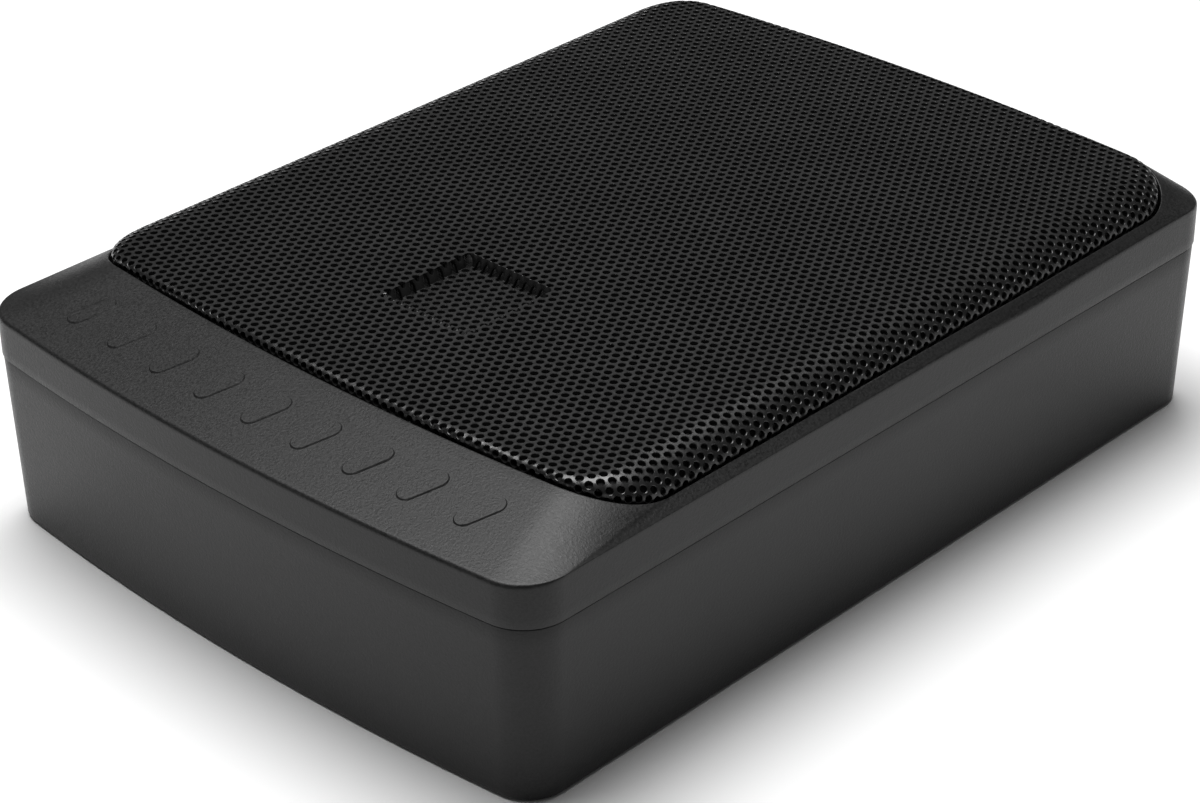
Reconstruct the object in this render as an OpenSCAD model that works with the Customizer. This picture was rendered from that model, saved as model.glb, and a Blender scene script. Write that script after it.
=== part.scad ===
// Powered car subwoofer: a slim under-seat casing in two moulded halves, a perforated
// steel grille, an oval woofer, and a class-D amplifier with its rear control panel.
// Millimetres. X is the short direction, Y the long one, Z up. The origin is the middle
// of the underside. The wide front shelf faces -Y, the control panel faces +Y.

/* [Casing] */
// Width of the casing across its straight long sides
casing_width = 208; // [173:1:250]
// Length of the casing over the middle of its bowed short sides
casing_length = 290; // [241:1:348]
// Height of the lower shell up to the parting line
lower_height = 51.5; // [42.5:0.5:62]
// Height from the parting line to the edge where the top shelf begins
band_height = 12.9; // [10.7:0.1:15.5]
// Height from the parting line to the flat top of the grille
grille_rise = 22.2; // [18.5:0.1:26.7]
// How far the middle of a short side bows outward
bow = 6.1; // [3:0.1:9]
// Radius of the four upright corners
corner_radius = 13.3; // [10:0.1:18]
// Inward lean of the lower shell over its height
draft = 1.6; // [0.5:0.1:2.5]
// Thickness of the moulded walls
wall = 3; // [2.5:0.1:3.6]
// Thickness of the floor of the lower shell
floor_thickness = 3; // [2.5:0.1:4]

/* [Top shelf and opening] */
// Depth of the sloping front shelf at its middle
front_shelf = 33; // [26:0.5:40]
// Depth of the shelf at the rear
rear_shelf = 9.4; // [7.8:0.1:14]
// Width of the shelf along the long sides
side_shelf = 3; // [2.5:0.1:6]
// Corner radius of the grille opening
opening_radius = 21; // [16:0.5:26]
// Drop from the flat top of the grille to the opening edge at the front and rear
shelf_drop_front = 1.8; // [1.5:0.1:2.2]
// Drop from the flat top of the grille to the opening edge along the long sides
shelf_drop_side = 7.3; // [6:0.1:8.8]

/* [Grille] */
// Thickness of the perforated steel sheet
sheet = 1; // [0.8:0.1:1.2]
// Gap between the grille skirt and the opening
grille_gap = 0.8; // [0.5:0.1:1.2]
// Width of the rolled edge along the long sides
roll_side = 12; // [8:0.5:14.5]
// Width of the rolled edge at the front and rear
roll_front = 2.4; // [2:0.1:5]
// Side of the square badge recess
badge_size = 32; // [24:1:39]
// Depth of the badge recess
badge_depth = 3.4; // [2:0.1:4.1]
// Distance from the casing middle forward to the middle of the badge recess
badge_forward = 56; // [40:1:68]

/* [Woofer] */
// Width of the gap left between the opening and the woofer frame on each long side
frame_side_gap = 22; // [18:0.5:26.5]
// Length of the gap left between the opening and the woofer frame at each end
frame_end_gap = 13; // [10:0.5:16]
// Outside diameter of the ferrite magnet
magnet_diameter = 92; // [76:1:111]
// Thickness of the magnet
magnet_thickness = 12; // [9:0.5:14.5]
// Diameter of the pole piece
pole_diameter = 38; // [31.5:0.5:46]
// Travel of the cone each way
cone_travel = 5; // [3:0.5:6]
// Width of the half-round roll of the surround
surround_roll = 11; // [9:0.5:13.5]

/* [Amplifier and panel] */
// Thickness of the circuit board
board_thickness = 1.6; // [1:0.1:2]
// Height of the board above the floor
board_standoff = 9; // [7:0.5:11]
// Depth of the control panel behind the middle of the rear face
panel_recess = 13; // [10.5:0.5:16]
// Thickness of the control panel
panel_thickness = 2.5; // [2:0.1:3]
// Diameter of the control knobs
knob_diameter = 11; // [9:0.5:13.5]
// Travel of the two slide switches
switch_travel = 3; // [2:0.1:3.6]
// Outside diameter of an input jack
jack_diameter = 8.3; // [6.9:0.1:10]

/* [Fixings] */
// Distance of the bracket fixings in from the ends of the casing
bracket_inset = 39; // [32:1:47]
// Width of each bracket recess in the underside
bracket_width = 18; // [14:0.5:22]
// Depth of each bracket recess
bracket_recess = 1; // [0.5:0.1:1.5]
// Outside diameter of the casing screws
screw_diameter = 3.4; // [2.8:0.1:4.1]

/* [Hidden] */
$fn = 48;
half_w = casing_width / 2;
half_l = casing_length / 2;
// gap shown at the parting line, and how far the upper shell stands over the lower one
seam_gap = 0.3;
overhang = 0.3;
arris_radius = 1.2;
foot_chamfer = 0.8;
// a pilot hole is this much larger than the thread in radius, a passing hole this much
thread_fit = 0.02;
screw_clearance = 0.3;
// distance by which a cut runs past the face it opens
past = 1;
woofer_screw = 3;
board_screw = 2.8;
panel_screw = 2.6;
grille_screw = 2.2;
seam_z = lower_height;
band_z = seam_z + seam_gap;
arris_z = seam_z + band_height;
grille_top = seam_z + grille_rise;

// shapes of the casing and of the opening: half width, half length at the corners,
// bow of the short sides, corner radius, shift of the middle along Y
casing = [half_w, half_l - bow, bow, corner_radius, 0];
opening_front = half_l - front_shelf;
opening_rear = half_l - rear_shelf;
opening_shift = (opening_rear - opening_front) / 2;
opening_bow = bow * 0.95;
opening = [half_w - side_shelf, (opening_front + opening_rear) / 2 - opening_bow, opening_bow,
    opening_radius, opening_shift];

// steps of the outlines: bowed sides, corners, straight sides
bow_steps = 10;
corner_steps = 6;
side_steps = 4;

// woofer levels and outlines
woofer_y = opening_shift;
baffle_top = seam_z + 6.5;
baffle_thickness = 3;
seal_thickness = 1;
flange_thickness = 2;
flange_z = baffle_top + seal_thickness;
flange_top = flange_z + flange_thickness;
frame_half_w = half_w - side_shelf - frame_side_gap;
frame_half_l = (opening_front + opening_rear) / 2 - frame_end_gap;
frame_straight = frame_half_l - frame_half_w;
flange_width = 12;
cut_margin = 9.5;
cone_half_w = frame_half_w - flange_width - surround_roll + 2;
plate_thickness = 5;
yoke_z = floor_thickness + 4;
magnet_z = yoke_z + plate_thickness;
top_plate_z = magnet_z + magnet_thickness;
seat_z = top_plate_z + plate_thickness;
basket_floor = 2;
spider_z = seat_z + 5;
neck_z = seat_z + 11;
pole_radius = pole_diameter / 2;
gap_radius = pole_radius + 2.5;
former_radius = pole_radius + 0.7;
former_wall = 0.3;
winding_wall = 0.8;
coil_height = plate_thickness + 2 * cone_travel - 1;
coil_z = top_plate_z + plate_thickness / 2 - coil_height / 2;
magnet_radius = magnet_diameter / 2;

// rear bay and board
panel_y = half_l - panel_recess;
post_x = half_w - 11;
post_radius = 4.5;
bay_half_w = post_x - post_radius - 5.5;
bay_low = floor_thickness + 5;
bay_high = seam_z - 8;
bay_ledge = 4;
bay_wall = 2.5;
panel_half_w = bay_half_w - 0.4;
panel_low = bay_low + 0.4;
panel_high = bay_high - 0.4;
panel_height = panel_high - panel_low;
board_z = floor_thickness + board_standoff;
board_top = board_z + board_thickness;
board_half_w = bay_half_w - 2;
board_rear = panel_y - panel_thickness - bay_ledge - 1;
board_front = woofer_y + magnet_radius + 7;
board_depth = board_rear - board_front;
control_z = board_top + 7.2;

// places along the panel, as shares of its half width
jack_x = -0.85 * panel_half_w;
level_x = -0.62 * panel_half_w;
crossover_x = -0.41 * panel_half_w;
phase_x = -0.21 * panel_half_w;
input_x = -0.02 * panel_half_w;
led_x = 0.12 * panel_half_w;
remote_x = 0.30 * panel_half_w;
power_x = 0.69 * panel_half_w;
jack_room = bay_high - bay_ledge - board_top;
jack_low_z = board_top + jack_room * 0.23;
jack_pitch = jack_room * 0.495;
jack_block_height = jack_room * 0.92;
socket_lift = 0.5;
socket_width = 28;
socket_height = 12;
remote_width = 12;
remote_height = 9;
switch_width = 9;
shaft_radius = 3;
turning_fit = 0.06;
knob_fit = 0.02;
switch_z = board_top + 5;

post_places = [
    [post_x, -half_l * 0.31], [-post_x, -half_l * 0.31],
    [post_x, half_l * 0.27], [-post_x, half_l * 0.27],
    [half_w - 16, -half_l + 19], [-half_w + 16, -half_l + 19],
    [half_w - 13, half_l - 21], [-half_w + 13, half_l - 21]];

// ---------- outlines ----------
function arc_points(c, r, from, to, steps, skip_last) =
    [for (i = [0 : steps - (skip_last ? 1 : 0)])
        let (t = from + (to - from) * i / steps) [c[0] + r * cos(t), c[1] + r * sin(t)]];

function bow_radius(s) = (s[0] * s[0] + s[2] * s[2]) / (2 * s[2]);
function bow_centre(s) = s[1] + s[2] - bow_radius(s);
function corner_x(s) = s[0] - s[3];
function corner_y(s) = bow_centre(s)
    + sqrt(pow(bow_radius(s) - s[3], 2) - pow(s[0] - s[3], 2));
function meet_angle(s) = atan2(corner_x(s), corner_y(s) - bow_centre(s));

// a rectangle with bowed short sides, moved inward by the distance inset; it runs
// counter-clockwise from the left end of the front side
function outline(s, inset) = let (
    rb = bow_radius(s) - inset,
    yb = bow_centre(s),
    m = meet_angle(s),
    r = s[3] - inset,
    cx = corner_x(s),
    cy = corner_y(s),
    o = s[4],
    w = s[0] - inset)
    concat(
        arc_points([0, o - yb], rb, 270 - m, 270 + m, bow_steps, true),
        arc_points([cx, o - cy], r, 270 + m, 360, corner_steps, true),
        [for (i = [0 : side_steps - 1]) [w, o - cy + 2 * cy * i / side_steps]],
        arc_points([cx, o + cy], r, 0, 90 - m, corner_steps, true),
        arc_points([0, o + yb], rb, 90 - m, 90 + m, bow_steps, true),
        arc_points([-cx, o + cy], r, 90 + m, 180, corner_steps, true),
        [for (i = [0 : side_steps - 1]) [-w, o + cy - 2 * cy * i / side_steps]],
        arc_points([-cx, o - cy], r, 180, 270 - m, corner_steps, true));

// how far each outline point faces the front or rear: 1 on the short sides, 0 on the long
function facing(s) = let (m = meet_angle(s)) concat(
    [for (i = [0 : bow_steps - 1]) 1],
    [for (i = [0 : corner_steps - 1]) pow(cos((90 - m) * i / corner_steps), 2)],
    [for (i = [0 : side_steps - 1]) 0],
    [for (i = [0 : corner_steps - 1]) pow(sin((90 - m) * i / corner_steps), 2)],
    [for (i = [0 : bow_steps - 1]) 1],
    [for (i = [0 : corner_steps - 1]) pow(cos((90 - m) * i / corner_steps), 2)],
    [for (i = [0 : side_steps - 1]) 0],
    [for (i = [0 : corner_steps - 1]) pow(sin((90 - m) * i / corner_steps), 2)]);

// a racetrack round the woofer: half width, half length of its straight part, height
function track_loop(w, straight, z) = at_height(concat(
    arc_points([0, woofer_y - straight], w, 180, 360, track_steps, false),
    arc_points([0, woofer_y + straight], w, 0, 180, track_steps, false)), z);

function at_height(points, z) = [for (p = points) [p[0], p[1], z]];
function at_heights(points, zs) = [for (i = [0 : len(points) - 1])
    [points[i][0], points[i][1], zs[i]]];

// ---------- lofted solids ----------
function band_faces(n, low, high) = [for (j = [0 : n - 1]) let (k = (j + 1) % n)
    each [[low * n + j, high * n + j, high * n + k], [low * n + j, high * n + k, low * n + k]]];

// loops joined one to the next and the last to the first: a ring-shaped solid
module ring_loft(loops) {
    n = len(loops[0]);
    m = len(loops);
    polyhedron(
        points = [for (l = loops) each l],
        faces = [for (i = [0 : m - 1]) each band_faces(n, i, (i + 1) % m)]);
}

// loops joined from the bottom up and closed with two flat caps
module stack_loft(loops) {
    n = len(loops[0]);
    m = len(loops);
    polyhedron(
        points = [for (l = loops) each l],
        faces = concat(
            [for (i = [0 : m - 2]) each band_faces(n, i, i + 1)],
            [[for (j = [0 : n - 1]) j]],
            [[for (j = [0 : n - 1]) (m - 1) * n + n - 1 - j]]));
}

module racetrack_plate(w, straight, h) {
    linear_extrude(h) {
        translate([0, woofer_y - straight]) circle(w, $fn = 96);
        translate([0, woofer_y + straight]) circle(w, $fn = 96);
        translate([-w, woofer_y - straight]) square([2 * w, 2 * straight]);
    }
}

// a pan-head screw pointing down, with its head on the plane z = 0
module pan_screw(d, length) {
    difference() {
        union() {
            translate([0, 0, -length]) cylinder(h = length + 0.01, d = d, $fn = 24);
            cylinder(h = d * 0.6, d1 = d * 1.9, d2 = d * 1.3, $fn = 24);
        }
        translate([-d * 0.5, -d * 0.1, d * 0.3]) cube([d, d * 0.2, d]);
        translate([-d * 0.1, -d * 0.5, d * 0.3]) cube([d * 0.2, d, d]);
    }
}

// ---------- casing ----------
opening_rise = [for (f = facing(opening))
    grille_top - shelf_drop_side + (shelf_drop_side - shelf_drop_front) * f];
lip = 0.5;

bracket_spacing = half_l - bracket_inset;
bracket_places = [[1, 1], [1, -1], [-1, 1], [-1, -1]];
insert_radius = 2.8;
insert_length = 6;
insert_x = half_w - draft - 10;
insert_offset = 4.5;
insert_cover = 3;
insert_wall = 2.2;
insert_bore = 1.65;

module bracket_recesses() {
    depth = 18;
    for (p = bracket_places) {
        translate([p[0] * (half_w - depth / 2 + 1), p[1] * bracket_spacing, 0])
            cube([depth, bracket_width, 2 * bracket_recess], center = true);
    }
}

module insert_spots() {
    for (p = bracket_places) {
        for (q = [-1, 1]) {
            translate([p[0] * insert_x, p[1] * bracket_spacing + q * insert_offset, bracket_recess])
                children();
        }
    }
}

module rear_bay(half, low, high, y0, y1) {
    translate([-half, y0, low]) cube([2 * half, y1 - y0, high - low]);
}

module lower_housing() {
    color([0.09, 0.09, 0.095])
    difference() {
        union() {
            difference() {
                stack_loft([
                    at_height(outline(casing, draft + foot_chamfer), 0),
                    at_height(outline(casing, draft), foot_chamfer),
                    at_height(outline(casing, 0), seam_z)]);
                translate([0, 0, floor_thickness])
                    linear_extrude(seam_z) polygon(outline(casing, wall + draft));
            }
            // walls and ledge of the rear bay
            intersection() {
                stack_loft([
                    at_height(outline(casing, draft + foot_chamfer), foot_chamfer),
                    at_height(outline(casing, wall / 6), seam_z)]);
                rear_bay(bay_half_w + bay_wall, bay_low - bay_wall, bay_high + bay_wall,
                    panel_y - panel_thickness - bay_ledge, half_l + past);
            }
            // posts for the casing screws
            for (p = post_places) {
                translate([p[0], p[1], foot_chamfer])
                    cylinder(h = seam_z - foot_chamfer, r = post_radius, $fn = 32);
            }
            // board standoffs
            for (p = board_spots) {
                translate([p[0], p[1], foot_chamfer])
                    cylinder(h = board_z - foot_chamfer, r = standoff_radius, $fn = 24);
            }
            // thick spots over the bracket inserts
            insert_spots()
                cylinder(h = insert_length + insert_cover, r = insert_radius + insert_wall, $fn = 32);
        }
        rear_bay(bay_half_w, bay_low, bay_high, panel_y - panel_thickness, half_l + 2 * past);
        rear_bay(bay_half_w - bay_ledge, bay_low + bay_ledge, bay_high - bay_ledge,
            panel_y - panel_thickness - bay_ledge - past, half_l);
        for (p = panel_spots) {
            translate([p[0], panel_y, p[1]]) rotate([90, 0, 0])
                cylinder(h = panel_thickness + bay_ledge + 2 * past,
                    r = panel_screw / 2 + thread_fit, $fn = 24);
        }
        for (p = post_places) {
            translate([p[0], p[1], -past])
                cylinder(h = seam_z + 2 * past, r = screw_diameter / 2 + screw_clearance, $fn = 28);
            translate([p[0], p[1], -past])
                cylinder(h = screw_sink + past, r = post_radius - sink_wall, $fn = 28);
        }
        for (p = board_spots) {
            translate([p[0], p[1], floor_thickness])
                cylinder(h = board_z, r = board_screw / 2 + thread_fit, $fn = 24);
        }
        insert_spots() translate([0, 0, -bracket_recess / 2])
            cylinder(h = insert_length + bracket_recess / 2 + 0.1, r = insert_radius, $fn = 32);
        bracket_recesses();
        // groove for the gasket in the rim
        translate([0, 0, seam_z - gasket_depth]) linear_extrude(2 * gasket_depth)
            difference() {
                polygon(outline(casing, gasket_inset));
                polygon(outline(casing, gasket_inset + gasket_width));
            }
    }
}

gasket_inset = 1.3;
gasket_width = 1.4;
gasket_depth = 0.8;
gasket_slack = 0.05;
screw_sink = 20;
sink_wall = 0.8;
screw_bite = 6;
housing_screw_length = seam_z - screw_sink + screw_bite;

module housing_gasket() {
    color([0.05, 0.05, 0.05])
    translate([0, 0, seam_z - gasket_depth]) linear_extrude(gasket_depth + seam_gap)
        difference() {
            polygon(outline(casing, gasket_inset + gasket_slack));
            polygon(outline(casing, gasket_inset + gasket_width - gasket_slack));
        }
}

module upper_housing() {
    outer = [half_w + overhang, half_l - bow + overhang, bow, corner_radius + overhang, 0];
    color([0.09, 0.09, 0.095])
    difference() {
        union() {
            difference() {
                ring_loft([
                    at_height(outline(outer, 0), band_z),
                    at_height(outline(outer, 0), arris_z - arris_radius),
                    at_height(outline(outer, arris_radius * 0.3), arris_z - arris_radius * 0.3),
                    at_height(outline(outer, arris_radius), arris_z),
                    at_heights(outline(opening, -lip), opening_rise),
                    at_heights(outline(opening, 0), [for (z = opening_rise) z - lip]),
                    at_height(outline(opening, 0), band_z)]);
                // hollow under the front shelf
                translate([0, 0, seam_z - past]) linear_extrude(band_height - wall + past)
                    front_hollow();
            }
            // baffle that carries the woofer
            translate([0, 0, baffle_top - baffle_thickness]) linear_extrude(baffle_thickness)
                polygon(outline(opening, -1));
            for (p = post_places) {
                translate([p[0], p[1], band_z])
                    cylinder(h = (p[1] < -opening_front ? arris_z - wall + lip : baffle_top) - band_z,
                        r = post_radius, $fn = 32);
            }
        }
        translate([0, 0, baffle_top - baffle_thickness - past])
            racetrack_plate(frame_half_w - cut_margin, frame_straight, baffle_thickness + 2 * past);
        for (p = post_places) {
            translate([p[0], p[1], seam_z - past])
                cylinder(h = screw_bite + past, r = screw_diameter / 2 + thread_fit, $fn = 24);
        }
        for (p = woofer_screw_spots) {
            translate([p[0], p[1], seam_z])
                cylinder(h = baffle_top + past - seam_z, r = woofer_screw / 2 + thread_fit, $fn = 24);
        }
        for (p = grille_screw_spots) {
            translate([p[0], p[1], seam_z])
                cylinder(h = baffle_top + past - seam_z, r = grille_screw / 2 + 0.5, $fn = 20);
        }
    }
}

module front_hollow() {
    intersection() {
        difference() {
            polygon(outline(casing, wall));
            polygon(outline(opening, -wall));
        }
        translate([-half_w, -half_l]) square([casing_width, half_l - opening_front + opening_radius]);
    }
}

module housing_screws() {
    color([0.25, 0.25, 0.27])
    for (p = post_places) {
        translate([p[0], p[1], screw_sink]) rotate([180, 0, 0])
            pan_screw(screw_diameter, housing_screw_length);
    }
}

// ---------- grille ----------
skirt_fit = [opening[0] - grille_gap, opening[1] - grille_gap, opening[2],
    opening[3] - grille_gap, opening_shift];
skirt_depth = 1.6;
skirt_land = 2;
roll_steps = 6;
grille_rim = [for (z = opening_rise) z - skirt_depth];
tab_width = 8;
tab_foot = 10;
tab_lap = 0.3;
tab_spread = casing_length / 6;
tab_places = [for (side = [-1, 1]) for (k = [-1 : 1]) [side, woofer_y + k * tab_spread]];
tab_face = skirt_fit[0] - sheet;

// one loop of the sheet: t = 0 where the skirt ends and 1 where the flat top begins
function roll_loop(t, inset) = let (
    f = facing(opening),
    rim = outline(skirt_fit, inset),
    flat_side = outline(skirt_fit, roll_side),
    flat_end = outline(skirt_fit, roll_front + inset))
    [for (i = [0 : len(f) - 1]) let (
        flat = flat_side[i] + (flat_end[i] - flat_side[i]) * f[i],
        low = grille_rim[i] + skirt_land,
        step = (flat - rim[i]) * (1 - cos(90 * t)))
        [rim[i][0] + step[0], rim[i][1] + step[1],
            low + (grille_top - inset - low) * sin(90 * t)]];

module shell_sheet(outer_inset, inner_inset) {
    stack_loft(concat(
        [for (k = [0 : roll_steps]) roll_loop(1 - k / roll_steps, inner_inset)],
        [at_heights(outline(skirt_fit, inner_inset), grille_rim)],
        [at_heights(outline(skirt_fit, outer_inset), grille_rim)],
        [for (k = [0 : roll_steps]) roll_loop(k / roll_steps, outer_inset)]));
}

module grille() {
    low = grille_top - badge_depth - sheet;
    half = badge_size / 2;
    color([0.06, 0.06, 0.065])
    difference() {
        union() {
            shell_sheet(0, sheet);
            // pressed square recess for a badge
            translate([-half, -badge_forward - half, low])
                cube([badge_size, badge_size, badge_depth + sheet / 2]);
            // tabs that reach down to the baffle
            for (p = tab_places) {
                translate([0, p[1] - tab_width / 2, baffle_top]) scale([p[0], 1, 1]) {
                    translate([tab_face - tab_lap, 0, 0])
                        cube([sheet, tab_width, grille_top - shelf_drop_side - baffle_top]);
                    translate([tab_face - tab_foot, 0, 0]) cube([tab_foot, tab_width, sheet]);
                }
            }
        }
        translate([-half + sheet, -badge_forward - half + sheet, low + sheet])
            cube([badge_size - 2 * sheet, badge_size - 2 * sheet, badge_depth + 1]);
        for (p = grille_screw_spots) {
            translate([p[0], p[1], baffle_top - past])
                cylinder(h = sheet + 2 * past, r = grille_screw / 2, $fn = 20);
        }
    }
}

grille_screw_spots = [for (p = tab_places) [p[0] * (tab_face - tab_foot / 2), p[1]]];

module grille_screws() {
    color([0.25, 0.25, 0.27])
    for (p = grille_screw_spots) {
        translate([p[0], p[1], baffle_top - baffle_thickness]) rotate([180, 0, 0])
            pan_screw(grille_screw, baffle_thickness + sheet + 2);
    }
}

cloth = 0.4;
cloth_gap = 0.15;
cloth_room = 0.5;

module grille_cloth() {
    half = badge_size / 2;
    inner = sheet + cloth_gap;
    color([0.03, 0.03, 0.03])
    difference() {
        shell_sheet(inner, inner + cloth);
        translate([-half - cloth_room, -badge_forward - half - cloth_room, grille_top - badge_depth - 6])
            cube([badge_size + 2 * cloth_room, badge_size + 2 * cloth_room, badge_depth + 8]);
        // room for the grille's tabs
        for (p = tab_places) {
            translate([p[0] * tab_face - 3, p[1] - tab_width / 2 - cloth_room, baffle_top])
                cube([6, tab_width + 2 * cloth_room, grille_top - shelf_drop_side + 0.5 - baffle_top]);
        }
    }
}

// ---------- woofer ----------
track_steps = 20;
basket_top_w = frame_half_w - cut_margin - 0.2;
basket_wall = 1.8;
basket_foot = 2.6;
woofer_hole = woofer_screw / 2 + 0.5;
basket_low_w = magnet_radius + 4;
spider_inner = basket_low_w - 4;
screw_ring = frame_half_w - 4;
screw_angle = 52;
woofer_screw_spots = concat(
    [for (sx = [-1, 1]) for (sy = [-1, 1])
        [sx * screw_ring, woofer_y + sy * frame_straight * 0.55]],
    [for (sx = [-1, 1]) for (sy = [-1, 1])
        [sx * screw_ring * cos(screw_angle),
            woofer_y + sy * (frame_straight + screw_ring * sin(screw_angle))]]);

module basket_windows() {
    low = seat_z + 6;
    high = flange_z - 5;
    for (a = [0 : 45 : 315]) {
        translate([0, woofer_y, low]) rotate([0, 0, a + 22.5])
            translate([basket_low_w - 25, -11, 0]) cube([120, 22, high - low]);
    }
}

module woofer_basket() {
    color([0.1, 0.1, 0.11])
    difference() {
        union() {
            translate([0, 0, flange_z]) racetrack_plate(frame_half_w, frame_straight, flange_thickness);
            difference() {
                ring_loft([
                    track_loop(basket_low_w, 0.5, seat_z),
                    track_loop(basket_top_w, frame_straight, flange_z),
                    track_loop(basket_top_w, frame_straight, flange_z + 1),
                    track_loop(basket_top_w - basket_foot, frame_straight, flange_z + 1),
                    track_loop(basket_top_w - basket_foot, frame_straight, flange_z),
                    track_loop(basket_low_w - basket_wall, 0.5, seat_z)]);
                basket_windows();
            }
            translate([0, woofer_y, seat_z]) cylinder(h = basket_floor, r = basket_low_w - 0.5, $fn = 72);
            // ledge that holds the spider
            translate([0, woofer_y, seat_z + basket_floor - 0.5])
                cylinder(h = spider_z - seat_z - basket_floor + 0.5, r = basket_low_w - 1, $fn = 72);
        }
        translate([0, 0, flange_z])
            racetrack_plate(frame_half_w - flange_width, frame_straight, flange_thickness + 1);
        translate([0, woofer_y, seat_z - past]) cylinder(h = 20, r = gap_radius + 0.4, $fn = 72);
        translate([0, woofer_y, seat_z + basket_floor]) cylinder(h = 20, r = spider_inner, $fn = 72);
        for (p = woofer_screw_spots) {
            translate([p[0], p[1], flange_z - past]) cylinder(h = 5, r = woofer_hole, $fn = 24);
        }
    }
}

module woofer_gasket() {
    color([0.05, 0.05, 0.05])
    difference() {
        translate([0, 0, baffle_top]) racetrack_plate(frame_half_w - 0.5, frame_straight, seal_thickness);
        translate([0, 0, baffle_top - past])
            racetrack_plate(frame_half_w - cut_margin + 0.5, frame_straight, seal_thickness + 2 * past);
        for (p = woofer_screw_spots) {
            translate([p[0], p[1], baffle_top - past]) cylinder(h = 5, r = woofer_hole, $fn = 24);
        }
    }
}

module woofer_screws() {
    color([0.2, 0.2, 0.22])
    for (p = woofer_screw_spots) {
        translate([p[0], p[1], flange_top]) pan_screw(woofer_screw, 8.5);
    }
}

land_w = frame_half_w - flange_width - 0.2;
roll_mid = (land_w + cone_half_w) / 2;
roll_half = (land_w - cone_half_w) / 2;
roll_thickness = 0.8;
surround_land = 4;
surround_z = flange_top;
cone_top_z = surround_z;

module surround() {
    arc = [for (t = [0 : 20 : 180]) [roll_mid + roll_half * cos(t), roll_half * sin(t)]];
    under = [for (t = [180 : -20 : 0])
        [roll_mid + (roll_half - roll_thickness) * cos(t), (roll_half - roll_thickness) * sin(t)]];
    profile = concat([[land_w + surround_land, 0], [land_w + surround_land, roll_thickness],
        [land_w, roll_thickness]], [for (i = [1 : len(arc) - 2]) arc[i]],
        [[cone_half_w, roll_thickness], [cone_half_w - 5, roll_thickness], [cone_half_w - 5, 0]],
        [for (i = [0 : len(under) - 1]) under[i]]);
    color([0.04, 0.04, 0.04])
    ring_loft([for (p = profile) track_loop(p[0], frame_straight, surround_z + p[1])]);
}

// the cone: its neck round the former, a middle ring, and its rim under the surround
neck_w = former_radius + former_wall + 0.1;
neck_straight = 0.05;
cone_mid_w = (former_radius + cone_half_w) / 2;
cone_mid_straight = frame_straight * 0.45;
cone_mid_z = neck_z + (cone_top_z - neck_z) * 0.42;
cone_wall = 1.1;
neck_wall = 2.6;
cone_lip = 2.5;

module cone() {
    rim_z = cone_top_z - 0.05;
    color([0.07, 0.07, 0.075])
    ring_loft([
        track_loop(neck_w, neck_straight, neck_z),
        track_loop(cone_mid_w, cone_mid_straight, cone_mid_z),
        track_loop(cone_half_w - 1, frame_straight, cone_top_z - cone_wall),
        track_loop(cone_half_w - 0.2, frame_straight, rim_z),
        track_loop(cone_half_w - cone_lip, frame_straight, rim_z),
        track_loop(cone_mid_w, cone_mid_straight, cone_mid_z + cone_wall),
        track_loop(neck_w, neck_straight, neck_z + neck_wall)]);
}

// the dust cap rests just clear of the cone, whose height at the cap's edge follows its slope
dome_radius = 26;
dome_rise = 5;
dome_clearance = 0.25;
dome_share = (dome_radius - neck_w) / (cone_mid_w - neck_w);
dome_z = neck_z + neck_wall + (cone_mid_z - neck_z + cone_wall - neck_wall) * dome_share
    + dome_clearance;

module dust_cap() {
    sphere_r = (dome_radius * dome_radius + dome_rise * dome_rise) / (2 * dome_rise);
    color([0.07, 0.07, 0.075])
    translate([0, woofer_y, dome_z + dome_rise - sphere_r])
        rotate_extrude($fn = 72)
            difference() {
                intersection() {
                    circle(sphere_r, $fn = 144);
                    translate([0, sphere_r - dome_rise]) square([dome_radius, dome_rise + 1]);
                }
                circle(sphere_r - 0.8, $fn = 144);
            }
}

module coil_former() {
    color([0.75, 0.55, 0.25])
    translate([0, woofer_y, coil_z]) difference() {
        cylinder(h = neck_z + 2 - coil_z, r = former_radius + former_wall, $fn = 72);
        translate([0, 0, -1]) cylinder(h = neck_z + 6 - coil_z, r = former_radius, $fn = 72);
    }
}

module coil_winding() {
    inner = former_radius + former_wall + 0.02;
    color([0.72, 0.4, 0.2])
    translate([0, woofer_y, coil_z]) difference() {
        cylinder(h = coil_height, r = inner + winding_wall, $fn = 72);
        translate([0, 0, -1]) cylinder(h = coil_height + 2, r = inner, $fn = 72);
    }
}

module spider() {
    inner = former_radius + former_wall + 0.05;
    outer = basket_low_w - 1.5;
    thick = 0.6;
    waves = 4;
    steps = 32;
    wave = 1.3;
    mid_z = spider_z + 0.05;
    reach = spider_inner - 0.5 - inner;
    low_line = concat([[outer, 0]], [for (i = [steps : -1 : 0]) let (u = i / steps)
        [inner + reach * u, wave * sin(360 * waves * u) * sin(180 * u)]]);
    top_line = [for (i = [len(low_line) - 1 : -1 : 0]) low_line[i] + [0, thick]];
    color([0.75, 0.6, 0.25])
    translate([0, woofer_y, mid_z]) rotate_extrude($fn = 72) polygon(concat(low_line, top_line));
}

module disc_plate(z, h, r, hole) {
    translate([0, woofer_y, z]) difference() {
        cylinder(h = h, r = r, $fn = 96);
        translate([0, 0, -1]) cylinder(h = h + 2, r = hole, $fn = 72);
    }
}

module top_plate() {
    color([0.45, 0.45, 0.47]) disc_plate(top_plate_z, plate_thickness, magnet_radius - 2, gap_radius);
}

module magnet() {
    color([0.12, 0.12, 0.13]) disc_plate(magnet_z, magnet_thickness, magnet_radius, gap_radius + 3);
}

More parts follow.
